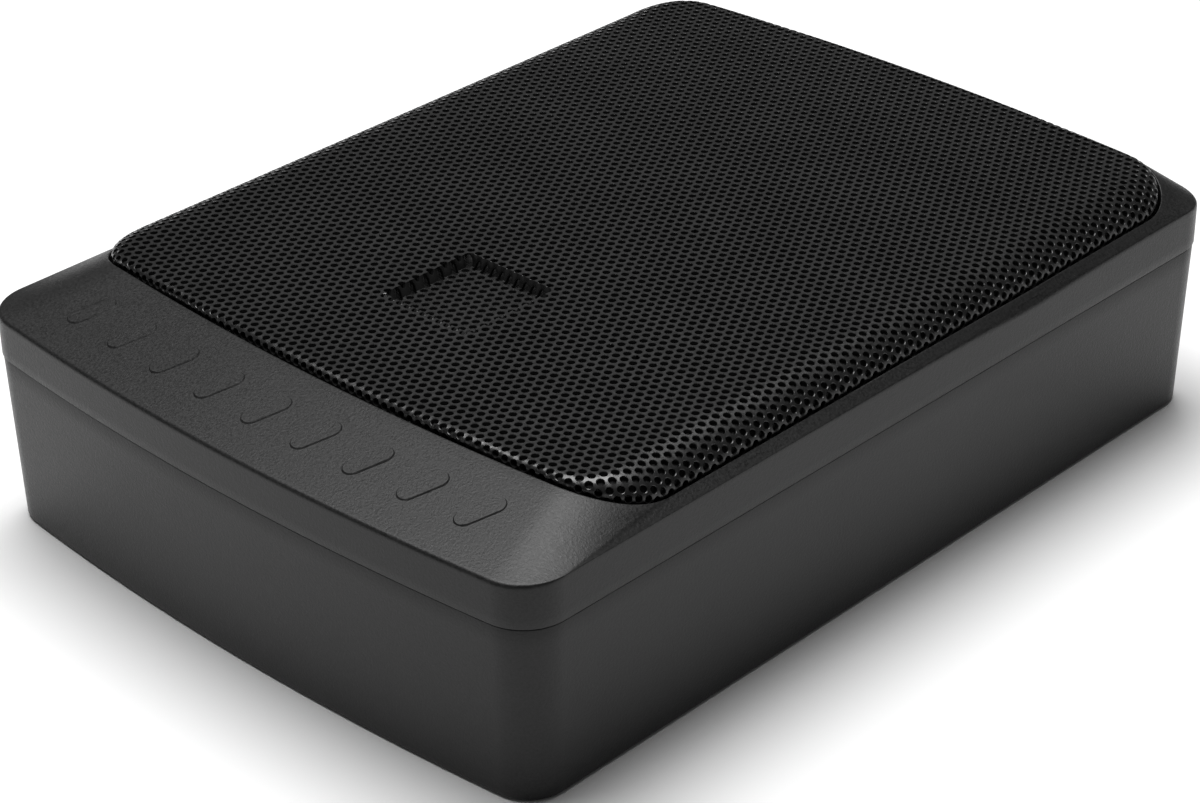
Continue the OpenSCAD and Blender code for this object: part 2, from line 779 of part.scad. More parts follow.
module yoke() {
    color([0.45, 0.45, 0.47])
    translate([0, woofer_y, yoke_z]) difference() {
        union() {
            cylinder(h = plate_thickness, r = magnet_radius - 2, $fn = 96);
            cylinder(h = seat_z - yoke_z, r = pole_radius, $fn = 72);
        }
        translate([0, 0, -1]) cylinder(h = seat_z - yoke_z + 2, r = 5, $fn = 48);
    }
}

terminal_y = woofer_y + magnet_radius + 1;
terminal_reach = 9.5;

module terminal_board() {
    color([0.35, 0.22, 0.1])
    difference() {
        translate([-9, terminal_y, seat_z - 1.6]) cube([18, 13, 1.6]);
        for (s = [-1, 1]) {
            translate([s * 5 - 1.6, terminal_y + terminal_reach - 0.05, seat_z - 3]) cube([3.2, 0.9, 5]);
        }
    }
}

module terminals() {
    color([0.8, 0.65, 0.3])
    for (s = [-1, 1]) {
        translate([s * 5 - 1.5, terminal_y + terminal_reach, seat_z - 7]) cube([3, 0.8, 9]);
    }
}

module speaker_wires() {
    wire = 0.9;
    end_y = board_front + 14;
    drop = seat_z - 6 - board_top;
    start_y = terminal_y + terminal_reach + 0.8 + wire;
    color([0.5, 0.05, 0.05])
    for (s = [-1, 1]) {
        translate([s * 5, start_y, board_top]) {
            cylinder(h = drop, r = wire, $fn = 20);
            translate([0, 0, drop]) sphere(wire, $fn = 20);
        }
        translate([s * 5, start_y, board_top + wire + 0.1]) rotate([-90, 0, 0])
            cylinder(h = end_y - start_y, r = wire, $fn = 20);
    }
}

// ---------- amplifier ----------
standoff_radius = 3.5;
board_spots = [for (sx = [-1, 1]) for (sy = [0.1, 0.72])
    [sx * (board_half_w - 4), board_front + board_depth * sy]];

module amp_board() {
    color([0.05, 0.22, 0.1])
    difference() {
        translate([-board_half_w, board_front, board_z])
            cube([2 * board_half_w, board_depth, board_thickness]);
        for (p = board_spots) {
            translate([p[0], p[1], board_z - past])
                cylinder(h = board_thickness + 2 * past, r = board_screw / 2 + 0.2, $fn = 20);
        }
    }
}

module board_screws() {
    color([0.6, 0.6, 0.62])
    for (p = board_spots) {
        translate([p[0], p[1], board_top]) pan_screw(board_screw, 7);
    }
}

spreader_x = 14;
spreader_end = board_half_w - 10;
spreader_y = board_front + 3;
spreader_high = seat_z - 3;
transistor_spots = [for (k = [0.12, 0.37, 0.62, 0.87])
    spreader_x + (spreader_end - spreader_x) * k];
transistor_z = board_top + 5;

module heat_spreader() {
    color([0.65, 0.65, 0.67])
    difference() {
        union() {
            translate([spreader_x, spreader_y, board_top])
                cube([spreader_end - spreader_x, 3, spreader_high - board_top]);
            translate([spreader_x, spreader_y - 5, spreader_high - 2.5])
                cube([spreader_end - spreader_x, 5.5, 2.5]);
        }
        for (x = transistor_spots) {
            translate([x, spreader_y - 1, transistor_z + 4]) rotate([-90, 0, 0])
                cylinder(h = 6, r = 1.2, $fn = 20);
        }
    }
}

module power_transistors() {
    color([0.08, 0.08, 0.08])
    for (x = transistor_spots) {
        difference() {
            translate([x - 4.8, spreader_y + 3, transistor_z - 4]) cube([9.6, 4.2, 10.4]);
            translate([x, spreader_y + 2, transistor_z + 4]) rotate([-90, 0, 0])
                cylinder(h = 6, r = 1.6, $fn = 20);
        }
        for (k = [-1 : 1]) {
            translate([x + k * 2.5 - 0.4, spreader_y + 4.5, board_top]) cube([0.8, 0.6, 1.5]);
        }
    }
}

module transistor_screws() {
    color([0.6, 0.6, 0.62])
    for (x = transistor_spots) {
        translate([x, spreader_y + 7.2, transistor_z + 4]) rotate([-90, 0, 0]) pan_screw(2.4, 6.5);
    }
}

capacitor_radius = 6.2;
capacitor_height = 20;
capacitor_y = board_front + board_depth * 0.36;
capacitor_x = [-0.86, -0.66, -0.46];

module capacitors() {
    color([0.1, 0.12, 0.2])
    for (k = capacitor_x) {
        translate([k * board_half_w, capacitor_y, board_top]) {
            cylinder(h = capacitor_height, r = capacitor_radius, $fn = 40);
        }
    }
}

choke_x = -0.22 * board_half_w;
choke_y = board_front + board_depth * 0.32;
choke_radius = 5.6;
choke_tube = 2.6;

module power_choke() {
    color([0.75, 0.7, 0.2])
    translate([choke_x, choke_y, board_top + choke_tube + 1.2])
        rotate_extrude($fn = 48) translate([choke_radius, 0]) circle(choke_tube - 0.5, $fn = 20);
}

module choke_winding() {
    turns = 12;
    color([0.72, 0.4, 0.2])
    for (k = [0 : turns - 1]) {
        translate([choke_x, choke_y, board_top + choke_tube + 1.2]) rotate([0, 0, 360 * k / turns])
            translate([choke_radius, 0, 0]) rotate([90, 0, 0]) difference() {
                cylinder(h = 1, r = choke_tube + 0.7, center = true, $fn = 20);
                cylinder(h = 3, r = choke_tube - 0.45, center = true, $fn = 20);
            }
    }
}

module control_chip() {
    color([0.06, 0.06, 0.06])
    for (k = [0.12, 0.5]) {
        translate([k * board_half_w, board_front + board_depth * 0.48, board_top]) cube([10, 7, 1.8]);
    }
}

// ---------- control panel ----------
panel_spots = [for (sx = [-1, 1]) for (z = [0.13, 0.87])
    [sx * (panel_half_w - 3), panel_low + panel_height * z]];

module jack_cut(d) {
    for (k = [0, 1]) {
        translate([jack_x, panel_y - 20, jack_low_z + k * jack_pitch]) rotate([-90, 0, 0])
            cylinder(h = 30, d = d, $fn = 36);
    }
}

module control_panel() {
    back = panel_y - panel_thickness;
    color([0.1, 0.1, 0.105])
    difference() {
        translate([-panel_half_w, back + 0.02, panel_low])
            cube([2 * panel_half_w, panel_thickness, panel_height]);
        jack_cut(2 * barrel_radius + 0.4);
        for (x = [level_x, crossover_x]) {
            translate([x, back - 1, control_z]) rotate([-90, 0, 0]) cylinder(h = 6, r = 3.9, $fn = 36);
        }
        for (x = [phase_x, input_x]) {
            translate([x - 4, back - 1, switch_z - 1.8]) cube([8, 6, 3.6]);
        }
        translate([led_x, back - 1, switch_z]) rotate([-90, 0, 0]) cylinder(h = 6, r = 1.6, $fn = 28);
        translate([remote_x - remote_width / 2 - 0.3, back - 1, board_top + 0.2])
            cube([remote_width + 0.6, 6, remote_height + 0.6]);
        translate([power_x - socket_width / 2 - 0.3, back - 1, board_top + 0.2])
            cube([socket_width + 0.6, 6, socket_height + 0.6]);
        for (p = panel_spots) {
            translate([p[0], panel_y + 1, p[1]]) rotate([90, 0, 0])
                cylinder(h = 6, r = panel_screw / 2 + screw_clearance, $fn = 24);
        }
    }
}

module panel_screws() {
    color([0.2, 0.2, 0.22])
    for (p = panel_spots) {
        translate([p[0], panel_y + 0.02, p[1]]) rotate([-90, 0, 0])
            pan_screw(panel_screw, panel_thickness + bay_ledge);
    }
}

jack_back = 12;
jack_length = 8.5;
barrel_radius = 3;

module input_jacks() {
    y0 = panel_y - panel_thickness - jack_back;
    color([0.08, 0.08, 0.08])
    difference() {
        union() {
            translate([jack_x - 5.5, y0, board_top])
                cube([11, jack_back - 0.3, jack_block_height]);
            for (k = [0, 1]) {
                translate([jack_x, y0, jack_low_z + k * jack_pitch]) rotate([-90, 0, 0])
                    cylinder(h = jack_back + panel_thickness + jack_length - 1, r = barrel_radius, $fn = 32);
            }
        }
        for (k = [0, 1]) {
            translate([jack_x, y0 + 2, jack_low_z + k * jack_pitch]) rotate([-90, 0, 0])
                cylinder(h = 30, r = 1.75, $fn = 28);
        }
    }
}

module jack_shells() {
    color([0.75, 0.75, 0.77])
    for (k = [0, 1]) {
        translate([jack_x, panel_y + 0.03, jack_low_z + k * jack_pitch]) rotate([-90, 0, 0])
            difference() {
                cylinder(h = jack_length, d = jack_diameter, $fn = 40);
                translate([0, 0, -past]) cylinder(h = 30, r = barrel_radius + 0.05, $fn = 40);
            }
    }
}

module jack_contacts() {
    y0 = panel_y - panel_thickness - jack_back + 2;
    color([0.8, 0.65, 0.3])
    for (k = [0, 1]) {
        translate([jack_x, y0, jack_low_z + k * jack_pitch]) rotate([-90, 0, 0]) difference() {
            cylinder(h = 10, r = 1.72, $fn = 28);
            translate([0, 0, 1]) cylinder(h = 10, r = 1.45, $fn = 28);
        }
    }
}

socket_depth = 16;
socket_wall = 1.2;
socket_base = 4;
pin_columns = 5;

module power_socket() {
    y0 = panel_y - socket_depth + 3;
    color([0.12, 0.12, 0.12])
    difference() {
        translate([power_x - socket_width / 2, y0, board_top + socket_lift])
            cube([socket_width, socket_depth, socket_height]);
        translate([power_x - socket_width / 2 + socket_wall, y0 + socket_base,
            board_top + socket_lift + socket_wall])
            cube([socket_width - 2 * socket_wall, socket_depth, socket_height - 2 * socket_wall]);
        // latch notch
        translate([power_x - 2.5, y0 + 6, board_top + socket_height - 1.5]) cube([5, socket_depth, 3]);
    }
}

module power_pins() {
    y0 = panel_y - socket_depth + 3;
    pitch = (socket_width - 2 * socket_wall) / pin_columns;
    color([0.7, 0.7, 0.72])
    for (i = [0 : pin_columns - 1]) {
        for (row = [0, 1]) {
            translate([power_x + (i - (pin_columns - 1) / 2) * pitch - 0.5, y0 + socket_base,
                board_top + socket_lift + socket_height * (0.33 + 0.34 * row) - 0.5])
                cube([1, 8, 1]);
        }
    }
}

remote_depth = 14;
remote_wall = 1.3;

module remote_socket() {
    y0 = panel_y - remote_depth + 1;
    color([0.12, 0.12, 0.12])
    difference() {
        translate([remote_x - remote_width / 2, y0, board_top + socket_lift])
            cube([remote_width, remote_depth, remote_height]);
        translate([remote_x - remote_width / 2 + remote_wall, y0 + 3,
            board_top + socket_lift + remote_wall])
            cube([remote_width - 2 * remote_wall, remote_depth, remote_height - 2 * remote_wall]);
    }
}

module remote_contacts() {
    color([0.8, 0.65, 0.3])
    for (k = [-1.5 : 1.5]) {
        translate([remote_x + k * 1.3 - 0.25, panel_y - remote_depth + 4,
            board_top + socket_lift + remote_wall])
            cube([0.5, 7, 0.4]);
    }
}

pot_depth = 8;
shaft_length = pot_depth + panel_thickness + 5.5;
shaft_flat = 4;

module pot_bodies() {
    y0 = panel_y - panel_thickness - pot_depth;
    color([0.3, 0.3, 0.32])
    for (x = [level_x, crossover_x]) {
        difference() {
            union() {
                translate([x - 5, y0, board_top]) cube([10, pot_depth - 0.5, 12]);
                translate([x, y0, control_z]) rotate([-90, 0, 0])
                    cylinder(h = pot_depth + panel_thickness + 0.5, r = 3.7, $fn = 36);
            }
            translate([x, y0 - past, control_z]) rotate([-90, 0, 0])
                cylinder(h = 40, r = shaft_radius + turning_fit, $fn = 36);
        }
    }
}

module pot_shaft(x) {
    color([0.7, 0.7, 0.72])
    translate([x, panel_y - panel_thickness - pot_depth + 0.5, control_z]) rotate([-90, 0, 0])
        difference() {
            cylinder(h = shaft_length, r = shaft_radius, $fn = 36);
            // flat for the knob
            translate([-4, 1.6, shaft_length - shaft_flat]) cube([8, 8, 20]);
        }
}

knob_length = 8;
knob_chamfer = 0.8;
knob_radius = knob_diameter / 2;
grips = 16;

module knob(x) {
    color([0.06, 0.06, 0.06])
    translate([x, panel_y + 1, control_z]) rotate([-90, 0, 0]) difference() {
        union() {
            cylinder(h = knob_length - knob_chamfer, d = knob_diameter, $fn = 48);
            translate([0, 0, knob_length - knob_chamfer])
                cylinder(h = knob_chamfer, r1 = knob_radius, r2 = knob_radius - knob_chamfer, $fn = 48);
        }
        for (k = [0 : grips - 1]) {
            rotate([0, 0, 360 * (k + 0.5) / grips]) translate([knob_radius + 0.15, 0, 1.5])
                cylinder(h = knob_length, r = 0.6, $fn = 16);
        }
        translate([0, 0, -past]) cylinder(h = 5.6 + past, r = shaft_radius + knob_fit, $fn = 36);
        // pointer groove
        translate([-0.4, -knob_radius, knob_length - 0.5]) cube([0.8, knob_radius * 0.72, 1]);
    }
}

module level_shaft() {
    pot_shaft(level_x);
}

module level_knob() {
    knob(level_x);
}

module crossover_shaft() {
    pot_shaft(crossover_x);
}

module crossover_knob() {
    knob(crossover_x);
}

slider_width = 3;

module switch_bodies() {
    y0 = panel_y - panel_thickness - 7;
    color([0.5, 0.5, 0.52])
    for (x = [phase_x, input_x]) {
        difference() {
            translate([x - switch_width / 2, y0, board_top]) cube([switch_width, 6.8, 10]);
            translate([x - 3.6, y0 + 3, switch_z - 1.5]) cube([7.2, 10, 3]);
        }
    }
}

module slider(x) {
    start = x - switch_travel / 2;
    color([0.85, 0.85, 0.85])
    translate([start - slider_width / 2, panel_y - panel_thickness - 3.8, switch_z - 1.3])
        cube([slider_width, panel_thickness + 6.3, 2.6]);
}

module phase_slider() {
    slider(phase_x);
}

module input_slider() {
    slider(input_x);
}

module power_light() {
    color([0.2, 0.3, 0.9, 0.7])
    translate([led_x, panel_y - panel_thickness - 5, switch_z]) rotate([-90, 0, 0]) {
        cylinder(h = panel_thickness + 5, r = 1.5, $fn = 28);
        translate([0, 0, panel_thickness + 5]) sphere(1.5, $fn = 28);
    }
}

// ---------- bracket fixings ----------
module bracket_inserts() {
    color([0.75, 0.6, 0.25])
    insert_spots() difference() {
        cylinder(h = insert_length, r = insert_radius - thread_fit, $fn = 32);
        translate([0, 0, -past]) cylinder(h = insert_length + 2 * past, r = insert_bore, $fn = 28);
    }
}

// ---------- output ----------
lower_housing();
upper_housing();
housing_gasket();
housing_screws();
grille();
grille_screws();
grille_cloth();
woofer_basket();
woofer_gasket();
woofer_screws();
surround();
cone();
dust_cap();
coil_former();
coil_winding();
spider();
top_plate();
magnet();
yoke();
terminal_board();
terminals();
speaker_wires();
amp_board();
board_screws();
heat_spreader();
power_transistors();
transistor_screws();
capacitors();
power_choke();
choke_winding();
control_chip();
control_panel();
panel_screws();
input_jacks();
jack_shells();
jack_contacts();
power_socket();
power_pins();
remote_socket();
remote_contacts();
pot_bodies();
level_shaft();
level_knob();
crossover_shaft();
crossover_knob();
switch_bodies();
phase_slider();
input_slider();
power_light();
bracket_inserts();
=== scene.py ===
import math

import bmesh
import bpy
import numpy as np
from mathutils import Matrix, Vector
from mathutils.geometry import delaunay_2d_cdt


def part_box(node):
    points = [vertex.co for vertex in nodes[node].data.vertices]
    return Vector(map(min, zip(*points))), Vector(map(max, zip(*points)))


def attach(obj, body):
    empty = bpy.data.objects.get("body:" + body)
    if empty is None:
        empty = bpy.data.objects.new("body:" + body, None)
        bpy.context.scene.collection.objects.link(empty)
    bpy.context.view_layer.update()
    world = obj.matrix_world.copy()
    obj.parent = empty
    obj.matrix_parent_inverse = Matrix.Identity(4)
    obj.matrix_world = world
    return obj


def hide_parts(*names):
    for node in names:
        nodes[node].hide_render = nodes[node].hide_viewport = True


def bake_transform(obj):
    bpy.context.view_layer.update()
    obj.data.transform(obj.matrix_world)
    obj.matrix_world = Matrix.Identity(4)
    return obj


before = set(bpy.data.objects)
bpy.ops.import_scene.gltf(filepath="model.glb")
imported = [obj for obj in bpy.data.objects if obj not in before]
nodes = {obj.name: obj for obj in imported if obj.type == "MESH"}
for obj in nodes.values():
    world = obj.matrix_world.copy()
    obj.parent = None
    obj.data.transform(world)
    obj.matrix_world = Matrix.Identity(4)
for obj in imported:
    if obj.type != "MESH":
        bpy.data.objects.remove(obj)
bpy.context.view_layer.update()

MM = 0.001


def box_mm(node):
    low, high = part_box(node)
    return np.array(low) / MM, np.array(high) / MM


# ---------------------------------------------------------------- sizes, in millimetres
HALF_W, HALF_L, SEAM_Z = box_mm("lower_housing")[1]
upper_low, upper_high = box_mm("upper_housing")
BAND_Z = upper_low[2]
OVERHANG = upper_high[0] - HALF_W
TOP_Z = box_mm("grille")[1][2]
BOW = 6.1
CORNER_R = 13.3
DRAFT = 1.6
WALL = 3.0
FLOOR = 3.0
ARRIS_Z = SEAM_Z + 12.9
ARRIS_R = 1.2
FOOT = 0.8
FRONT_SHELF = 33.0
REAR_SHELF = 9.4
SIDE_SHELF = 3.0
OPENING_R = 21.0
DROP_FRONT = 1.8
DROP_SIDE = 7.3
LIP_R = 0.7
BAFFLE_TOP = SEAM_Z + 6.5
BAFFLE = 3.0
FRAME_SIDE_GAP = 22.0
FRAME_END_GAP = 13.0
FRAME_LAP = 9.5
SHEET = 1.0
GRILLE_GAP = 0.8
ROLL_SIDE = 12.0
ROLL_FRONT = 2.4
SKIRT_LAND = 2.0
SKIRT_DEPTH = 1.6
HOLE_PITCH = 3.0
HOLE_R = 1.05
HOLE_CHAMFER = 0.13
HOLE_SIDES = 12
BADGE_HALF = 16.0
BADGE_Y = -56.0
BADGE_DEPTH = 3.2
BADGE_DRAW = 1.3

OPEN_FRONT = HALF_L - FRONT_SHELF
OPEN_REAR = HALF_L - REAR_SHELF
OPEN_SHIFT = (OPEN_REAR - OPEN_FRONT) / 2
OPEN_BOW = BOW * 0.95
CASING = (HALF_W, HALF_L - BOW, BOW, CORNER_R, 0.0)
UPPER = (HALF_W + OVERHANG, HALF_L - BOW + OVERHANG, BOW, CORNER_R + OVERHANG, 0.0)
OPENING = (
    HALF_W - SIDE_SHELF,
    (OPEN_FRONT + OPEN_REAR) / 2 - OPEN_BOW,
    OPEN_BOW,
    OPENING_R,
    OPEN_SHIFT,
)
SKIRT = (
    OPENING[0] - GRILLE_GAP,
    OPENING[1] - GRILLE_GAP,
    OPENING[2],
    OPENING[3] - GRILLE_GAP,
    OPEN_SHIFT,
)

# ---------------------------------------------------------------- outlines
BOW_N, CORNER_N, SIDE_N = 40, 16, 26


def meet_angle(s):
    """Angle from the Y axis at which the bowed short side meets the corner arc."""
    w, l, bow, r, _ = s
    rb = (w * w + bow * bow) / (2 * bow)
    yb = l + bow - rb
    cy = yb + math.sqrt((rb - r) ** 2 - (w - r) ** 2)
    return math.atan2(w - r, cy - yb), rb, yb, cy


def outline(s, inset=0.0):
    """A bowed rectangle moved inward by inset, counter-clockwise from the left end of the front."""
    w, l, bow, r, shift = s
    m, rb, yb, cy = meet_angle(s)
    cx = w - r

    def arc(x, y, rad, a, b, n):
        t = a + (b - a) * np.arange(n) / n
        return np.stack([x + rad * np.cos(t), y + rad * np.sin(t)], 1)

    def line(x, y0, y1, n):
        t = np.arange(n) / n
        return np.stack([np.full(n, x), y0 + (y1 - y0) * t], 1)

    q = math.pi / 2
    ri, rbi, wi = r - inset, rb - inset, w - inset
    return np.concatenate(
        [
            arc(0, shift - yb, rbi, 3 * q - m, 3 * q + m, BOW_N),
            arc(cx, shift - cy, ri, 3 * q + m, 4 * q, CORNER_N),
            line(wi, shift - cy, shift + cy, SIDE_N),
            arc(cx, shift + cy, ri, 0, q - m, CORNER_N),
            arc(0, shift + yb, rbi, q - m, q + m, BOW_N),
            arc(-cx, shift + cy, ri, q + m, 2 * q, CORNER_N),
            line(-wi, shift + cy, shift - cy, SIDE_N),
            arc(-cx, shift - cy, ri, 2 * q, 3 * q - m, CORNER_N),
        ]
    )


def facing(s):
    """1 along the short sides, 0 along the long sides, blended round the corners."""
    m = meet_angle(s)[0]
    t = (math.pi / 2 - m) * np.arange(CORNER_N) / CORNER_N
    down, up = np.cos(t) ** 2, np.sin(t) ** 2
    ends, sides = np.ones(BOW_N), np.zeros(SIDE_N)
    return np.concatenate([ends, down, sides, up, ends, down, sides, up])


def at(points, z):
    z = np.broadcast_to(np.asarray(z, float), (len(points),))
    return np.column_stack([points, z])


FACING = facing(OPENING)
RISE = TOP_Z - DROP_SIDE + (DROP_SIDE - DROP_FRONT) * FACING


# ---------------------------------------------------------------- mesh helpers
def make_object(name, verts_mm, faces, body="casing", smooth_angle=32.0):
    mesh = bpy.data.meshes.new(name)
    mesh.from_pydata((np.asarray(verts_mm, float) * MM).tolist(), [], faces)
    mesh.validate()
    mesh.update()
    obj = bpy.data.objects.new(name, mesh)
    bpy.context.scene.collection.objects.link(obj)
    soften(obj, smooth_angle)
    if body:
        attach(obj, body)
    return obj


def soften(obj, angle=32.0):
    """Smooth shading, with edges sharper than the angle kept sharp."""
    mesh = obj.data
    mesh.polygons.foreach_set("use_smooth", np.ones(len(mesh.polygons), bool))
    mesh.set_sharp_from_angle(angle=math.radians(angle))
    mesh.update()


def ring_faces(n, m, closed):
    """Quads between m loops of n points; closed joins the last loop to the first."""
    faces = []
    for i in range(m if closed else m - 1):
        a, b = i * n, ((i + 1) % m) * n
        for j in range(n):
            k = (j + 1) % n
            faces.append((a + j, a + k, b + k, b + j))
    return faces


def loft(loops, closed=False, caps=False):
    n, m = len(loops[0]), len(loops)
    verts = np.concatenate(loops)
    faces = ring_faces(n, m, closed)
    if caps:
        faces.append(tuple(range(n - 1, -1, -1)))
        faces.append(tuple((m - 1) * n + j for j in range(n)))
    return verts, faces


def bezier(a, c, b, steps):
    """Points of a quadratic curve from a to b with the corner c."""
    return [(1 - t) ** 2 * a + 2 * t * (1 - t) * c + t * t * b for t in np.linspace(0, 1, steps + 1)]


def boolean(obj, cutters, operation="DIFFERENCE"):
    """Applies one exact boolean with all the cutters, then removes them."""
    for c in cutters:
        mod = obj.modifiers.new("cut", "BOOLEAN")
        mod.operation = operation
        mod.solver = "EXACT"
        mod.object = c
    graph = bpy.context.evaluated_depsgraph_get()
    done = bpy.data.meshes.new_from_object(obj.evaluated_get(graph))
    obj.modifiers.clear()
    old = obj.data
    obj.data = done
    bpy.data.meshes.remove(old)
    for c in cutters:
        bpy.data.objects.remove(c)


def cutter(name, verts, faces):
    mesh = bpy.data.meshes.new(name)
    mesh.from_pydata((np.asarray(verts, float) * MM).tolist(), [], faces)
    mesh.update()
    obj = bpy.data.objects.new(name, mesh)
    bpy.context.scene.collection.objects.link(obj)
    return obj


def prism(points, z0, z1):
    """A straight prism over a counter-clockwise plan outline."""
    return loft([at(points, z0), at(points, z1)], caps=True)


def box_mesh(x0, x1, y0, y1, z0, z1):
    return prism(np.array([[x0, y0], [x1, y0], [x1, y1], [x0, y1]], float), z0, z1)


def tube_mesh(x, y, r, z0, z1, sides=40):
    t = np.arange(sides) * 2 * math.pi / sides
    return prism(np.stack([x + r * np.cos(t), y + r * np.sin(t)], 1), z0, z1)


def merged(parts):
    verts, faces, base = [], [], 0
    for v, f in parts:
        verts.append(np.asarray(v, float))
        faces += [tuple(i + base for i in face) for face in f]
        base += len(v)
    return np.concatenate(verts), faces


# ---------------------------------------------------------------- materials
class Mat:
    """A Principled material with helpers for procedural detail, in object coordinates."""

    def __init__(self, name, rough=0.5, metal=0.0, specular=0.5):
        self.mat = bpy.data.materials.new(name)
        self.mat.use_nodes = True
        self.tree = self.mat.node_tree
        self.nodes, self.links = self.tree.nodes, self.tree.links
        self.shader = self.nodes["Principled BSDF"]
        self.set("Roughness", rough)
        self.set("Metallic", metal)
        self.set("Specular IOR Level", specular)
        self.coord = self.nodes.new("ShaderNodeTexCoord")
        self.height = None

    def set(self, socket, value):
        self.shader.inputs[socket].default_value = value

    def node(self, kind, **values):
        n = self.nodes.new(kind)
        for k, v in values.items():
            if k in n.inputs.keys():
                n.inputs[k].default_value = v
            else:
                setattr(n, k, v)
        return n

    def link(self, a, b):
        self.links.new(a, b)

    def mapped(self, scale):
        m = self.node("ShaderNodeMapping")
        m.inputs["Scale"].default_value = scale
        self.link(self.coord.outputs["Object"], m.inputs["Vector"])
        return m.outputs["Vector"]

    def noise(self, size_mm, detail=2.0, rough=0.5, stretch=(1, 1, 1)):
        n = self.node("ShaderNodeTexNoise", Detail=detail, Roughness=rough)
        n.inputs["Scale"].default_value = 1.0
        k = 1000.0 / size_mm
        self.link(self.mapped([k * s for s in stretch]), n.inputs["Vector"])
        return n.outputs["Fac"]

    def voronoi(self, size_mm, feature="F1", randomness=1.0):
        n = self.node("ShaderNodeTexVoronoi", feature=feature)
        n.inputs["Scale"].default_value = 1.0
        n.inputs["Randomness"].default_value = randomness
        k = 1000.0 / size_mm
        self.link(self.mapped((k, k, k)), n.inputs["Vector"])
        return n.outputs["Distance"]

    def remap(self, value, a, b, c, d):
        """Value from the range a to b onto the range c to d, clamped."""
        n = self.node("ShaderNodeMapRange", clamp=True)
        for s, v in zip(("From Min", "From Max", "To Min", "To Max"), (a, b, c, d)):
            n.inputs[s].default_value = v
        self.link(value, n.inputs["Value"])
        return n.outputs["Result"]

    def math(self, operation, a, b=None):
        n = self.node("ShaderNodeMath", operation=operation)
        for i, v in enumerate((a, b)):
            if v is None:
                continue
            if isinstance(v, (int, float)):
                n.inputs[i].default_value = v
            else:
                self.link(v, n.inputs[i])
        return n.outputs[0]

    def colour(self, value, stops):
        """Colour ramp: stops are (position, (r, g, b))."""
        n = self.node("ShaderNodeValToRGB")
        els = n.color_ramp.elements
        while len(els) < len(stops):
            els.new(0.5)
        for e, (p, c) in zip(els, stops):
            e.position, e.color = p, (*c, 1)
        self.link(value, n.inputs["Fac"])
        return n.outputs["Color"]

    def mix(self, fac, a, b):
        n = self.node("ShaderNodeMix", data_type="RGBA")
        for i, v in zip((0, 6, 7), (fac, a, b)):
            if isinstance(v, (int, float)):
                n.inputs[i].default_value = v
            elif isinstance(v, tuple):
                n.inputs[i].default_value = (*v, 1)
            else:
                self.link(v, n.inputs[i])
        return n.outputs[2]

    def base(self, colour):
        self.link(colour, self.shader.inputs["Base Color"])

    def rough(self, value):
        self.link(value, self.shader.inputs["Roughness"])

    def bump(self, height, micron, strength=1.0):
        """Adds relief: height 0 to 1 stands for this many microns."""
        n = self.node("ShaderNodeBump", Strength=strength)
        n.inputs["Distance"].default_value = micron * 1e-6
        self.link(height, n.inputs["Height"])
        if self.height is not None:
            self.link(self.height, n.inputs["Normal"])
        self.height = n.outputs["Normal"]
        self.link(self.height, self.shader.inputs["Normal"])

    def axis(self, name):
        n = self.node("ShaderNodeSeparateXYZ")
        self.link(self.coord.outputs["Object"], n.inputs[0])
        return n.outputs[name]


def grey(v):
    return (v, v, v)


def textured_plastic(name, dark, light, rough, grain_mm=0.45, grain_um=9.0, specular=0.5):
    """Moulded plastic with a fine spark-eroded texture, faint cloudiness and a few scuffs."""
    m = Mat(name, rough=rough, specular=specular)
    cloud = m.noise(60.0, 2.0, 0.5)
    fine = m.noise(grain_mm * 0.9, 3.0, 0.75)
    both = m.math("ADD", m.math("MULTIPLY", cloud, 0.2), m.math("MULTIPLY", fine, 0.8))
    tone = m.colour(both, [(0.38, dark), (0.62, light)])
    specks = m.remap(m.voronoi(7.5), 0.0, 0.055, 1.0, 0.0)
    rare = m.remap(m.noise(16.0, 1.0), 0.56, 0.62, 0.0, 0.55)
    dust = m.math("MULTIPLY", specks, rare)
    m.base(m.mix(dust, tone, tuple(2.6 * c for c in light)))
    m.rough(m.remap(fine, 0.35, 0.65, rough - 0.07, rough + 0.07))
    m.bump(m.noise(grain_mm, 3.0, 0.7), grain_um)
    return m.mat


def painted_steel(name):
    """Black powder coat on perforated steel: satin, with a light orange peel."""
    m = Mat(name, rough=0.3, specular=0.6)
    tone = m.colour(m.noise(24.0, 3.0), [(0.35, grey(0.006)), (0.68, grey(0.01))])
    m.base(tone)
    m.rough(m.remap(m.noise(1.1, 3.0), 0.3, 0.7, 0.24, 0.38))
    m.bump(m.noise(0.6, 2.0), 14.0)
    return m.mat


def woven(name, dark, light, thread_mm, micron, rough=0.9, sheen=0.25):
    """Plain weave: two crossed sets of threads, its hollows darkened with painted shade."""
    m = Mat(name, rough=rough, specular=0.2)
    m.set("Sheen Weight", sheen)
    k = 1000.0 / thread_mm * math.pi
    x = m.math("SINE", m.math("MULTIPLY", m.axis("X"), k))
    y = m.math("SINE", m.math("MULTIPLY", m.axis("Y"), k))
    over = m.math("MULTIPLY", x, y)
    height = m.remap(over, -1.0, 1.0, 0.0, 1.0)
    # the colour follows the weave's height times random tone: the darker hollows between raised threads are
    # painted shade
    m.base(m.mix(m.math("MULTIPLY", height, m.remap(m.noise(1.2), 0.3, 0.7, 0.5, 1.0)), dark, light))
    m.bump(height, micron)
    return m.mat


